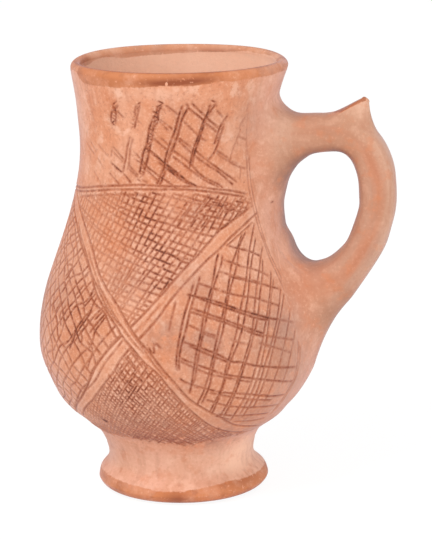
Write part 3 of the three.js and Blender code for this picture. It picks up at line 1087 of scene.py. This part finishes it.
def join_rows(node, *parts, looped=True, sharp_rows=None):
    """Wall piece from its rows, by default sharp where its seams begin. Its slip is worn at the rim."""
    points = np.concatenate([rings for rings, _ in parts])
    values = {
        name: np.concatenate([np.broadcast_to(given[name], rings.shape[:2]) for rings, given in parts])
        for name in parts[0][1]
    }
    slip = np.clip(values["slip"], BARE, SLIP_COUNTED)
    for place, size, depth in SLIP_WEAR:
        slip = slip - depth * blob(points, place, size)
    values["slip"] = slip
    if sharp_rows is None:
        first = len(parts[0][0])
        sharp_rows = (0, first - 1, first, len(points) - 1)
    flow_up_the_wall = points * (1, 1, 0.12)
    return build_piece(node, points, paint(points, flow_up_the_wall, **values), looped, sharp_rows)


def wall_piece(node, index):
    """Wall piece between two seams, higher inside than outside by the seams' bevels."""
    return join_rows(node, outside_rows(index), inside_rows(SEAMS_INSIDE[index - 1], SEAMS_INSIDE[index]))


# Rings of the foot slab: under it as shares of the resting face, and on the floor inside as radii
UNDER_SHARES = np.array([0.05, 0.2, 0.4, 0.6, 0.8, 0.92, 0.96])
FLOOR_RADII = np.array([34.0, 28.0, 20.0, 12.0, 6.0, 2.0])


def foot_slab():
    """Disc with its resting face, its edge, and the floor inside."""
    under = on_axis(TURNS, UNDER_SHARES[:, None] * REST_RADIUS, 0.0)
    top = on_axis(TURNS, FLOOR_RADII[:, None], SEAMS[0])
    outer = outside_rows(0)
    return join_rows("foot_slab", wall_rows(under), outer, wall_rows(top, inside=1.0), looped=False,
                     sharp_rows=(len(under) + len(outer[0]) - 1,))


def foot_collar():
    return wall_piece("foot_collar", 1)


def belly_bowl():
    return wall_piece("belly_bowl", 2)


def belly_shoulder():
    return wall_piece("belly_shoulder", 3)


def neck_collar():
    return wall_piece("neck_collar", 4)


def rim_coil():
    """Upright to the lip, rounded over, and down inside to the seam."""
    turn = np.linspace(0, math.pi, 26)[1:-1, None]
    radius = LIP[0] - WALL / 2 * (1 - np.cos(turn))
    crown_height = CROWN_HEIGHT - 0.6
    for azimuth, reach, amount in RIM_SWELLS:
        crown_height = crown_height + amount * np.exp(-apart(TURNS, azimuth, reach) ** 2)
    height = LIP_HEIGHT + crown_height * np.sin(turn)
    share = np.linspace(0, 1, len(turn))[:, None]
    swell = (1 - share) * unevenness(TURNS, LIP_HEIGHT)
    swell = swell + INSIDE_UNEVEN * share * unevenness(TURNS + 1, LIP_HEIGHT)
    near = np.clip(-3 * np.sin(TURNS), 0, 1)
    far = np.clip(3 * np.sin(TURNS), 0, 1)
    # Along the crown's inner edge, the dark ink, strong on the near side and faint on the far side, is
    # painted shade where the crown turns out of view, with some slip pooled there. The inner crown on the
    # far side gets painted light.
    top = wall_rows(on_axis(TURNS, radius + swell, height),
                    slip=np.where(turn > math.pi / 2, slip_inside(TURNS, height), SLIP_COUNTED),
                    ink=0.6 * near * bell(turn, 1.6, 0.38) + 0.2 * far * bell(turn, 1.55, 0.3),
                    inside=0.8 * far * smoothstep(1.2, 2.0, turn))
    outer = outside_rows(5)
    inner = inside_rows(SEAMS_INSIDE[4], LIP_HEIGHT)
    rows = len(outer[0]) + len(top[0]) + len(inner[0])
    return join_rows("rim_coil", outer, top, inner, sharp_rows=(0, rows - 1))


# Handle

def handle_spine():
    """Places along the handle's spine, reach and height: the arm and the strap below it."""
    root = np.array([NECK[0] - ARM_ROOT_DEPTH, ARM_ROOT_HEIGHT])
    knee = np.array(KNEE)
    heel = np.array([radius_at(HEEL_HEIGHT) - HEEL_ROOT_DEPTH, HEEL_HEIGHT])
    share = np.linspace(0, 1, 1500)
    arm = bezier((root, root + ARM_PULL, knee + (0, KNEE_HOLD_ABOVE), knee), share)
    strap = bezier((knee, knee - (0, KNEE_HOLD_BELOW), heel + HEEL_PULL, heel), share)
    return arm, strap


ARM_CURVE, STRAP_CURVE = handle_spine()
SPINE = np.concatenate([ARM_CURVE, STRAP_CURVE[1:]])
SPINE_RUN = run_along(SPINE)
SPINE_TANGENT = np.gradient(SPINE, SPINE_RUN, axis=0)
SPINE_LENGTH = SPINE_RUN[-1]
ARM_LENGTH = SPINE_RUN[len(ARM_CURVE) - 1]
HEEL_START = SPINE_LENGTH - HEEL_ROOT_LENGTH
BACK_SWELL = swell_along(BACK_FULLNESS, SPINE_LENGTH + 1)
FINGER_SWELL = swell_along(FINGER_FULLNESS, SPINE_LENGTH + 1)
STRAP_TURNS = np.arange(STRAP_COLUMNS) * 2 * math.pi / STRAP_COLUMNS


def strap_point(distance, turn):
    """Point of the strap's skin at a distance along its spine and a turn round its section.

    A turn of 0 is the back, away from the fingers."""
    x, z = (np.interp(distance, SPINE_RUN, course) for course in SPINE.T)
    ahead, above = (np.interp(distance, SPINE_RUN, course) for course in SPINE_TANGENT.T)
    near_arm = bell(np.maximum(distance - ARM_ROOT_DEPTH, 0), 0, ARM_SPREAD_LENGTH)
    near_heel = bell(np.maximum(SPINE_LENGTH - distance, 0), 0, HEEL_SPREAD_LENGTH)
    slimming = smoothstep(0, ARM_LENGTH, distance)
    thickness = ARM_THICKNESS + (STRAP_THICKNESS - ARM_THICKNESS) * slimming
    thickness = thickness + ARM_SPREAD * near_arm + HEEL_SPREAD * near_heel
    width = STRAP_WIDTH + ROOT_WIDTH_SPREAD * (near_arm + near_heel)
    square = 2 / STRAP_ROUNDNESS
    across, aside = (np.sign(part) * np.abs(part) ** square for part in (np.cos(turn), np.sin(turn)))
    waver = 0.12 * np.sin(distance / 7 + 2 * np.sin(turn)) + 0.1 * np.sin(distance / 3.1 + 3 * turn)
    back = np.interp(distance, *BACK_SWELL) * np.clip(across, 0, 1)
    finger = np.interp(distance, *FINGER_SWELL) * np.clip(-across, 0, 1)
    out = across * (thickness / 2 + waver) + back - finger
    return np.stack([x - above * out, aside * (width / 2 + waver), z + ahead * out], axis=-1)


def to_wall(points):
    """Azimuth in radians, height, and distance outside the wall."""
    x, y, z = np.moveaxis(points, -1, 0)
    aside, along = lean(z)
    turn = np.arctan2(y - along, x - aside)
    return np.stack([turn, z, np.hypot(x - aside, y - along) - radius_at(z) - unevenness(turn, z)], axis=-1)


def from_wall(spots):
    turn, z, out = np.moveaxis(spots, -1, 0)
    return on_axis(turn, radius_at(z) + unevenness(turn, z) + out, z)


# Along the spine, where the warm sides and the painted highlight along the back begin and are full, where
# they fade again, and where the painted shade under the arm thins
WARM_FROM = (44, 62)
WARM_TO = (134, 112)
BACK_HIGHLIGHT_FROM = (36, 56)
BACK_HIGHLIGHT_TO = (128, 112)
FINGER_SIDE_SHADE_TO = (62, 40)


def handle_paint(points, distance, turn, slip=BARE):
    """The handle's own darker tone, which fades into the wall, and what runs along its length.

    It has a painted highlight along its back, it is warm along its sides, and it has painted shade along its
    finger side, strongest under its arm."""
    distance, turn = (np.broadcast_to(value, points.shape[:-1]) for value in (distance, turn))
    out = to_wall(points)[..., 2]
    clear = smoothstep(1.0, 8, out)
    back = np.cos(turn)
    flow = np.stack([9 * back, 11 * np.sin(turn), 0.12 * distance], axis=-1)
    beside = bell(np.degrees(np.arccos(back)), 86, 17)
    warm = 0.8 * clear * beside * smoothstep(*WARM_FROM, distance) * smoothstep(*WARM_TO, distance)
    # Painted shade along the finger side, strongest under the arm
    finger_side_shade = clear * smoothstep(-0.4, -0.95, back) * (0.4 + 0.6 * smoothstep(*FINGER_SIDE_SHADE_TO, distance))
    # Painted highlight along the back
    pale_and_lit = clear * smoothstep(0.15, 0.8, back)
    pale_and_lit = pale_and_lit * smoothstep(*BACK_HIGHLIGHT_FROM, distance) * smoothstep(*BACK_HIGHLIGHT_TO, distance)
    flaw = ROOT_FLAW_INK * blob(points, *ROOT_FLAW) * (points[..., 1] < 0)
    return paint(points, flow, np.maximum(finger_side_shade, 0.3 * warm), warm, 0.35 * pale_and_lit,
                 slip=slip, tone=smoothstep(-1, 10, out), ink=flaw)


def wall_crossing(inside, outside):
    """Distance along the spine at which each line of the strap's skin meets the wall."""
    low = np.full(STRAP_COLUMNS, float(inside))
    high = np.full(STRAP_COLUMNS, float(outside))
    for _ in range(40):
        middle = (low + high) / 2
        within = to_wall(strap_point(middle, STRAP_TURNS))[:, 2] < 0
        low = np.where(within, middle, low)
        high = np.where(within, high, middle)
    return (low + high) / 2


# Fillet of a root: over what length its first slope is taken, and how far it runs on straight from the
# skin and from the wall. Then the rings of the root's back, as shares, and how deep it sits in the wall
SLOPE_STEP = 0.2
LEAVE_SHARE = 0.55
LAND_SHARE = 0.6
BACK_SHARES = (0.8, 0.6, 0.4, 0.2, 0.05)
BACK_DEPTH = 0.4


def worked_root(node, inside, outside, run_up, run_out):
    """Root of the handle: its skin, then a fillet that lies down on the wall, then its back."""
    meeting = wall_crossing(inside, outside)
    away = math.copysign(1, outside - inside)
    start = meeting + away * run_up
    rows = max(6, math.ceil(abs(outside - meeting.mean()) / STRAP_STEP))
    distance = outside + (start - outside) * np.linspace(0, 1, rows)[:, None]
    skin = strap_point(distance, STRAP_TURNS)
    leave = to_wall(strap_point(start, STRAP_TURNS))
    just_before = to_wall(strap_point(start + away * SLOPE_STEP, STRAP_TURNS))
    heading = (leave - just_before) / SLOPE_STEP
    met = to_wall(strap_point(meeting, STRAP_TURNS)) * (1, 1, 0)
    radius = radius_at(met[:, 1])
    middle = np.array([0.0, met[:, 1].mean()])
    out = np.stack([met[:, 0] * radius, met[:, 1] - middle[1]], axis=-1)
    out = out / np.linalg.norm(out, axis=1, keepdims=True)
    landing = met.copy()
    landing[:, 0] += run_out * out[:, 0] / radius
    landing[:, 1] += run_out * out[:, 1]
    share = np.linspace(0, 1, FILLET_ROWS + 1)[1:, None]
    straight = heading * (run_up * LEAVE_SHARE)[:, None]
    knots = leave, leave + straight, landing + LAND_SHARE * (met - landing), landing
    fillet = bezier([knot[None] for knot in knots], share)
    sunk = landing.copy()
    sunk[:, :2] += 0.02 * (landing[:, :2] - middle)
    sunk[:, 2] = -BACK_DEPTH
    back = [sunk]
    for part in BACK_SHARES:
        ring = sunk.copy()
        ring[:, :2] = middle + part * (sunk[:, :2] - middle)
        back.append(ring)
    rings = np.concatenate([skin, from_wall(fillet), from_wall(np.array(back))])
    past = start - away * (run_up + run_out) * share
    distance = np.concatenate([distance, past, np.repeat(past[-1:], len(back), axis=0)])
    landed = len(skin) + len(fillet) - 1
    return build_piece(node, rings, handle_paint(rings, distance, STRAP_TURNS), sharp_rows=(0, landed))


def by_side(top, side, bottom):
    """Length round the section: at its back, its sides and its finger side."""
    back = np.cos(STRAP_TURNS)
    return side + (top - side) * np.clip(back, 0, 1) ** 2 + (bottom - side) * np.clip(-back, 0, 1) ** 2


def handle_arm_root():
    return worked_root("handle_arm_root", 0, ARM_ROOT_LENGTH, by_side(3, 6, 8), by_side(3, 8, 19))


def handle_heel_root():
    run_up, run_out = by_side(10, 10, 6.5), by_side(13, 13, 5.5)
    return worked_root("handle_heel_root", SPINE_LENGTH, HEEL_START, run_up, run_out)


def handle_strap():
    steps = math.ceil((HEEL_START - ARM_ROOT_LENGTH) / STRAP_STEP)
    distances = np.linspace(ARM_ROOT_LENGTH, HEEL_START, steps + 1)[:, None]
    rings = strap_point(distances, STRAP_TURNS)
    values = handle_paint(rings, distances, STRAP_TURNS)
    return build_piece("handle_strap", rings, values, sharp_rows=(0, len(rings) - 1))


def spur_outline(columns):
    """Rounded three-cornered outline: a flat front, and sides that draw in to a ridge behind.

    The first number runs from -1 in front to 1 behind, the second from -1 to 1 across."""
    third = columns // 3
    share = np.arange(third) / third
    front = np.stack([np.full(third, -1.0), -1 + 2 * share], axis=-1)
    side = np.stack([-1 + 2 * share, np.cos(share * math.pi / 2) ** 0.75], axis=-1)
    outline = np.concatenate([front, side, side[::-1] * (1, -1)])
    for _ in range(3):
        outline = 0.5 * outline + 0.25 * (np.roll(outline, 1, axis=0) + np.roll(outline, -1, axis=0))
    return outline


def on_plane(points):
    """Points of the handle's plane from reach and height."""
    return np.insert(points, 1, 0.0, axis=-1)


def thumb_spur():
    """Spur pinched up from the strap's back, flat in front and ridged behind."""
    outline = spur_outline(SPUR_COLUMNS)
    along = (outline[:, 0] + 1) / 2
    across = outline[:, 1]
    distance = SPUR_START + (SPUR_END - SPUR_START) * along
    foot_in_front, foot_behind = strap_point(np.array([SPUR_START, SPUR_END]), 0.0)[:, [0, 2]]
    on_top = strap_point(distance, 0.0)
    bulge = on_top - on_plane(foot_in_front + along[:, None] * (foot_behind - foot_in_front))

    def edges(share):
        return (on_plane(bezier((foot_in_front, *SPUR_FRONT), share)),
                on_plane(bezier((foot_behind, *SPUR_BACK), share)))

    def ring(share):
        front, behind = edges(share)
        fade = SPUR_TIP_SHARE + (1 - SPUR_TIP_SHARE) * (1 - share) ** 1.3
        centre = front + along[:, None] * (behind - front) + bulge * (1 - share)
        return strap_point(distance, SPUR_HALF_ANGLE * across * fade) + centre - on_top

    base, up = ring(0.0), ring(SPUR_FILLET_SHARE)
    middle = (SPUR_START + SPUR_END) / 2
    half = (SPUR_END - SPUR_START) / 2
    reached = middle + (half + SPUR_FILLET_REACH) * outline[:, 0]
    landing = strap_point(reached, (SPUR_HALF_ANGLE + 0.2) * across)
    knots = landing, landing + LAND_SHARE * (base - landing), up + LAND_SHARE * (base - up), up
    fillet = bezier([knot[None] for knot in knots], np.linspace(0, 1, 16)[:, None])
    shares = np.linspace(SPUR_FILLET_SHARE, 1, SPUR_ROWS + 1)[1:]
    shaft = np.array([ring(share) for share in shares])
    tip = shaft[-1]
    turn = np.linspace(0, math.pi / 2, 8)[1:-1, None, None]
    cap = tip.mean(axis=0) + (tip - tip.mean(axis=0)) * np.cos(turn) + SPUR_CAP * np.sin(turn)
    inward = strap_point(np.full(len(outline), middle), 0 * across + math.pi) - landing
    sunk = landing + 0.5 * inward / np.linalg.norm(inward, axis=1, keepdims=True)
    rings = np.concatenate([sunk[None], fillet, shaft, cap])
    risen = [0, *np.linspace(0, SPUR_FILLET_SHARE, len(fillet)), *shares, *np.full(len(cap), 1.02)]
    depth = np.array([along * np.linalg.norm(np.subtract(*edges(share))) for share in risen])
    risen = np.array(risen)[:, None]
    reach = 0.5 + (SPUR_SLIP_REACH - 0.5) * risen - 3 * np.clip(1 - 1.5 * risen, 0, 1) * np.abs(across)
    slip = np.minimum(reach - depth, (risen - SPUR_FILLET_SHARE) * 8)
    values = handle_paint(rings, distance, across * SPUR_HALF_ANGLE, slip)
    values["warm"] = np.maximum(values["warm"], 0.8 * smoothstep(-1.0, 0.4, slip))
    return build_piece("thumb_spur", rings, values, sharp_rows=(1,))


# Materials

def linear(red, green, blue):
    """Colour of a screen value from 0 to 255, as the shader takes it."""
    value = np.array([red, green, blue]) / 255
    value = np.where(value <= 0.04045, value / 12.92, ((value + 0.055) / 1.055) ** 2.4)
    return (*value, 1.0)


class Nodes:
    """Short ways to add and join the shader nodes of a material or a world."""

    def __init__(self, owner):
        owner.use_nodes = True
        self.tree = owner.node_tree
        self.tree.nodes.clear()

    def add(self, kind, **inputs):
        node = self.tree.nodes.new("ShaderNode" + kind)
        for name, value in inputs.items():
            self.join(value, node.inputs[name.replace("_", " ")])
        return node

    def fill(self, kind, *values, **settings):
        """Node with its settings, and its first inputs in their order."""
        node = self.add(kind)
        for name, value in settings.items():
            setattr(node, name, value)
        for value, socket in zip(values, node.inputs):
            self.join(value, socket)
        return node

    def join(self, value, socket):
        if isinstance(value, bpy.types.NodeSocket):
            self.tree.links.new(value, socket)
        else:
            socket.default_value = value

    def math(self, operation, *values):
        return self.fill("Math", *values, operation=operation).outputs[0]

    def times(self, first, second):
        return self.math("MULTIPLY", first, second)

    def line(self, value, slope, start):
        """A value times a slope, added to a start."""
        return self.math("MULTIPLY_ADD", value, slope, start)

    def mix(self, share, first, second):
        node = self.add("Mix")
        node.data_type = "RGBA"
        node.clamp_factor = True
        for value, index in ((share, 0), (first, 6), (second, 7)):
            self.join(value, node.inputs[index])
        return node.outputs[2]

    def noise(self, place, scale, detail=3.0, roughness=0.5, distortion=0.0):
        return self.add("TexNoise", Vector=place, Scale=scale, Detail=detail, Roughness=roughness,
                        Distortion=distortion).outputs[0]

    def ramp(self, value, low, high):
        return self.fill("MapRange", value, low, high, interpolation_type="SMOOTHSTEP").outputs[0]

    def attribute(self, name, output="Fac"):
        return self.fill("Attribute", attribute_name=name).outputs[output]

    def seen(self):
        """1 for what the camera sees, or sees mirrored or through glass."""
        rays = self.add("LightPath").outputs
        straight = self.math("MAXIMUM", rays["Is Camera Ray"], rays["Is Glossy Ray"])
        return self.math("MAXIMUM", straight, rays["Is Transmission Ray"])


# Clay of the patterned wall, of the plain parts and of the handle, then what lies on it
GROUND = linear(230, 165, 132)
GROUND_WARM = linear(222, 147, 108)
GROUND_PALE = linear(246, 196, 169)
FIELD = linear(196, 124, 90)
PLAIN = linear(228, 168, 141)
PLAIN_WARM = linear(218, 153, 122)
PLAIN_PALE = linear(254, 208, 180)
HANDLE = linear(199, 148, 121)
HANDLE_WARM = linear(190, 136, 107)
SPECKLE = linear(182, 110, 78)
WARM = linear(212, 128, 84)
# Colours of painted shade, and of painted light on the inside
SHADE = linear(146, 106, 94)
INSIDE_PAINTED_LIGHT = linear(252, 206, 178)
INK = linear(136, 51, 6)
INK_DARK = linear(96, 32, 4)
SLIP = linear(209, 128, 79)
SLIP_DARK = linear(150, 78, 46)
SHEEN = linear(210, 222, 255)
WHITE = (1, 1, 1, 1)

# How far the clay's finest grain stands out, in shading alone
GRAIN_RELIEF = 0.4


def clay_ground(n, place, mottle, speckle):
    """Colour of the bare clay, with its patches and its specks, its pale places and painted light, and its
    painted shade.
    """
    plain, tone, washed = (n.attribute(name) for name in ("plain", "tone", "wash"))
    patches = n.noise(place, 38, 3.0, 0.55, 0.3)
    flow = n.fill("VectorMath", n.attribute("flow", "Vector"), operation="SCALE")
    n.join(MM, flow.inputs["Scale"])
    streak = n.noise(flow.outputs[0], 230, 2.0)
    patterned_clay = n.mix(n.ramp(patches, 0.4, 0.62), GROUND, GROUND_WARM)
    plain_clay = n.mix(n.ramp(patches, 0.4, 0.66), PLAIN, PLAIN_WARM)
    handle_clay = n.mix(n.ramp(patches, 0.4, 0.62), HANDLE, HANDLE_WARM)
    colour = n.mix(tone, n.mix(plain, patterned_clay, plain_clay), handle_clay)
    warmth = n.times(n.attribute("warm"), n.ramp(streak, 0.3, 0.6))
    # Painted glints on the crumbly ground of the hatched fields
    painted_crumb_glint = n.times(n.ramp(n.noise(place, 900, 2.0, 0.6), 0.52, 0.66), washed)
    shade = n.times(n.attribute("shade"), n.ramp(mottle, 0.2, 0.6))
    layers = (
        (n.times(n.ramp(mottle, 0.52, 0.7), n.line(tone, -0.4, 0.55)), GROUND_PALE),
        (n.times(washed, 0.7), FIELD),
        # Painted highlight on the clay thrown up beside the cuts
        (n.times(n.ramp(n.attribute("cut"), -0.02, -0.15), 0.55), GROUND_PALE),
        # Paler clay, and painted light
        (n.times(n.attribute("pale_and_lit"), 0.8), n.mix(plain, GROUND_PALE, PLAIN_PALE)),
        (n.times(warmth, 0.75), WARM),
        (n.times(n.ramp(streak, 0.5, 0.7), 0.22), SPECKLE),
        (n.times(n.ramp(mottle, 0.46, 0.3), 0.35), WARM),
        (n.times(n.ramp(speckle, 0.52, 0.72), n.line(plain, -0.25, 0.45)), SPECKLE),
        (n.times(n.ramp(speckle, 0.46, 0.3), n.line(tone, -0.2, 0.35)), GROUND_PALE),
        (n.times(painted_crumb_glint, 0.5), GROUND_PALE),
        (n.times(n.ramp(n.noise(place, 700, 2.0), 0.68, 0.74), n.line(plain, -0.36, 0.4)), INK),
        # Painted shade
        (n.times(shade, 0.8), SHADE),
        # Painted light over the inside of the jug
        (n.times(n.attribute("inside"), 0.75), INSIDE_PAINTED_LIGHT),
    )
    for share, target in layers:
        colour = n.mix(share, colour, target)
    return colour


def slip_layer(n, place, mottle, speckle):
    """How far the slip covers the clay, worn and chipped along its edge, and its colour."""
    warm = n.attribute("warm")
    uneven = n.line(n.math("SUBTRACT", mottle, 0.5), 1.8, n.times(n.math("SUBTRACT", speckle, 0.5), 0.9))
    share = n.ramp(n.math("ADD", n.attribute("slip"), uneven), -0.25, 0.4)
    worn = n.math("MAXIMUM", n.line(n.ramp(n.noise(place, 80, 4.0, 0.65), 0.36, 0.58), 0.4, 0.52), warm)
    chipped = n.ramp(n.noise(place, 560, 2.0, 0.6), 0.62, 0.7)
    # Inside the mouth the slip is thinned: painted light on the shaded inner wall
    share = n.times(share, n.times(worn, n.line(n.attribute("inside"), -0.4, 1.0)))
    share = n.times(share, n.line(chipped, -0.6, 1.0))
    dark = n.math("MAXIMUM", n.times(n.ramp(n.noise(place, 90, 3.0, 0.6), 0.45, 0.68), 0.5), warm)
    return share, n.mix(dark, SLIP, SLIP_DARK)


def ink_layer(n, place):
    """Dark dirt in the cut lines, in crumbs."""
    ink_here = n.attribute("ink")
    crumbs = n.line(n.math("SUBTRACT", n.noise(place, 1100, 3.0, 0.6), 0.5), 1.6, 0.95)
    share = n.math("MINIMUM", n.times(ink_here, crumbs), 0.9)
    return share, n.mix(n.ramp(ink_here, 0.7, 1.05), INK, INK_DARK)


def clay(slot):
    """Fired clay, with the slip over it and the ink in its cuts."""
    material = bpy.data.materials.new(slot)
    n = Nodes(material)
    place = n.add("TexCoord").outputs["Object"]
    mottle = n.noise(place, 145, 3.0, 0.55)
    speckle = n.noise(place, 620, 3.0, 0.6)
    grain = n.noise(place, 1500, 3.0, 0.65)
    colour = clay_ground(n, place, mottle, speckle)
    for share, target in (slip_layer(n, place, mottle, speckle), ink_layer(n, place)):
        colour = n.mix(share, colour, target)
    relief = n.line(grain, 0.5, n.times(speckle, 0.9))
    bump = n.add("Bump", Strength=0.5, Distance=GRAIN_RELIEF * MM, Height=relief)
    shader = n.add("BsdfPrincipled", Base_Color=colour, Roughness=n.line(mottle, 0.2, 0.5),
                   Normal=bump.outputs[0], Specular_IOR_Level=0.3,
                   Sheen_Weight=0.3, Sheen_Roughness=0.35, Sheen_Tint=SHEEN)
    n.add("OutputMaterial", Surface=shader.outputs[0])
    return material


# Scene

def place_camera():
    camera = bpy.data.cameras.new("camera")
    camera.lens = CAMERA_LENS
    camera.sensor_width = SENSOR_WIDTH
    camera.clip_end = CAMERA_REACH * MM
    holder = put("camera", camera)
    view = Matrix.Translation([value * MM for value in CAMERA_PLACE])
    for angle, axis in ((CAMERA_HEADING, "Z"), (90 - CAMERA_PITCH, "X"), (CAMERA_ROLL, "Z")):
        view = view @ Matrix.Rotation(math.radians(angle), 4, axis)
    holder.matrix_world = view
    bpy.context.scene.camera = holder


def soft_light(name, place, aim, size, power):
    light = bpy.data.lights.new(name, "AREA")
    light.shape = "DISK"
    light.size = size
    light.energy = power
    holder = put(name, light)
    holder.location = place
    holder.rotation_euler = (Vector(aim) - holder.location).to_track_quat("-Z", "Y").to_euler()


def white_world():
    """White where it is seen or mirrored, and an even soft light otherwise."""
    world = bpy.data.worlds.new("surroundings")
    n = Nodes(world)
    level_here = n.line(n.seen(), 1 - WORLD_LEVEL, WORLD_LEVEL)
    n.add("OutputWorld", Surface=n.add("Background", Color=WHITE, Strength=level_here).outputs[0])
    bpy.context.scene.world = world


def white_floor():
    """Wide floor, white where it is seen, with the jug's shadow left on it."""
    mesh = bpy.data.meshes.new("floor")
    corners = ((-1, -1), (1, -1), (1, 1), (-1, 1))
    mesh.from_pydata([(x * FLOOR_HALF, y * FLOOR_HALF, 0) for x, y in corners], [], [(0, 1, 2, 3)])
    floor = put("floor", mesh)
    material = bpy.data.materials.new("floor")
    n = Nodes(material)
    matte = n.add("BsdfDiffuse", Color=WHITE)
    glow = n.add("Emission", Color=WHITE, Strength=FLOOR_GLOW)
    mixed = n.fill("MixShader", n.times(n.seen(), FLOOR_GLOW_SHARE), matte.outputs[0], glow.outputs[0])
    n.add("OutputMaterial", Surface=mixed.outputs[0])
    mesh.materials.append(material)


PIECES = (
    (foot_slab, "slipped_clay"),
    (foot_collar, "plain_clay"),
    (belly_bowl, "incised_clay"),
    (belly_shoulder, "incised_clay"),
    (neck_collar, "incised_clay"),
    (rim_coil, "slipped_clay"),
    (handle_arm_root, "handle_clay"),
    (handle_strap, "handle_clay"),
    (handle_heel_root, "handle_clay"),
    (thumb_spur, "handle_clay"),
)


def make_jug():
    materials = {}
    for make, slot in PIECES:
        piece = make()
        if slot not in materials:
            materials[slot] = clay(slot)
        piece.data.materials.append(materials[slot])
        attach(piece, "root")
        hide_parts(make.__name__)


make_jug()
place_camera()
white_world()
white_floor()
for name, (place, aim, size, power) in LAMPS.items():
    soft_light(name, place, aim, size, power)
bpy.context.scene.view_settings.view_transform = "Standard"
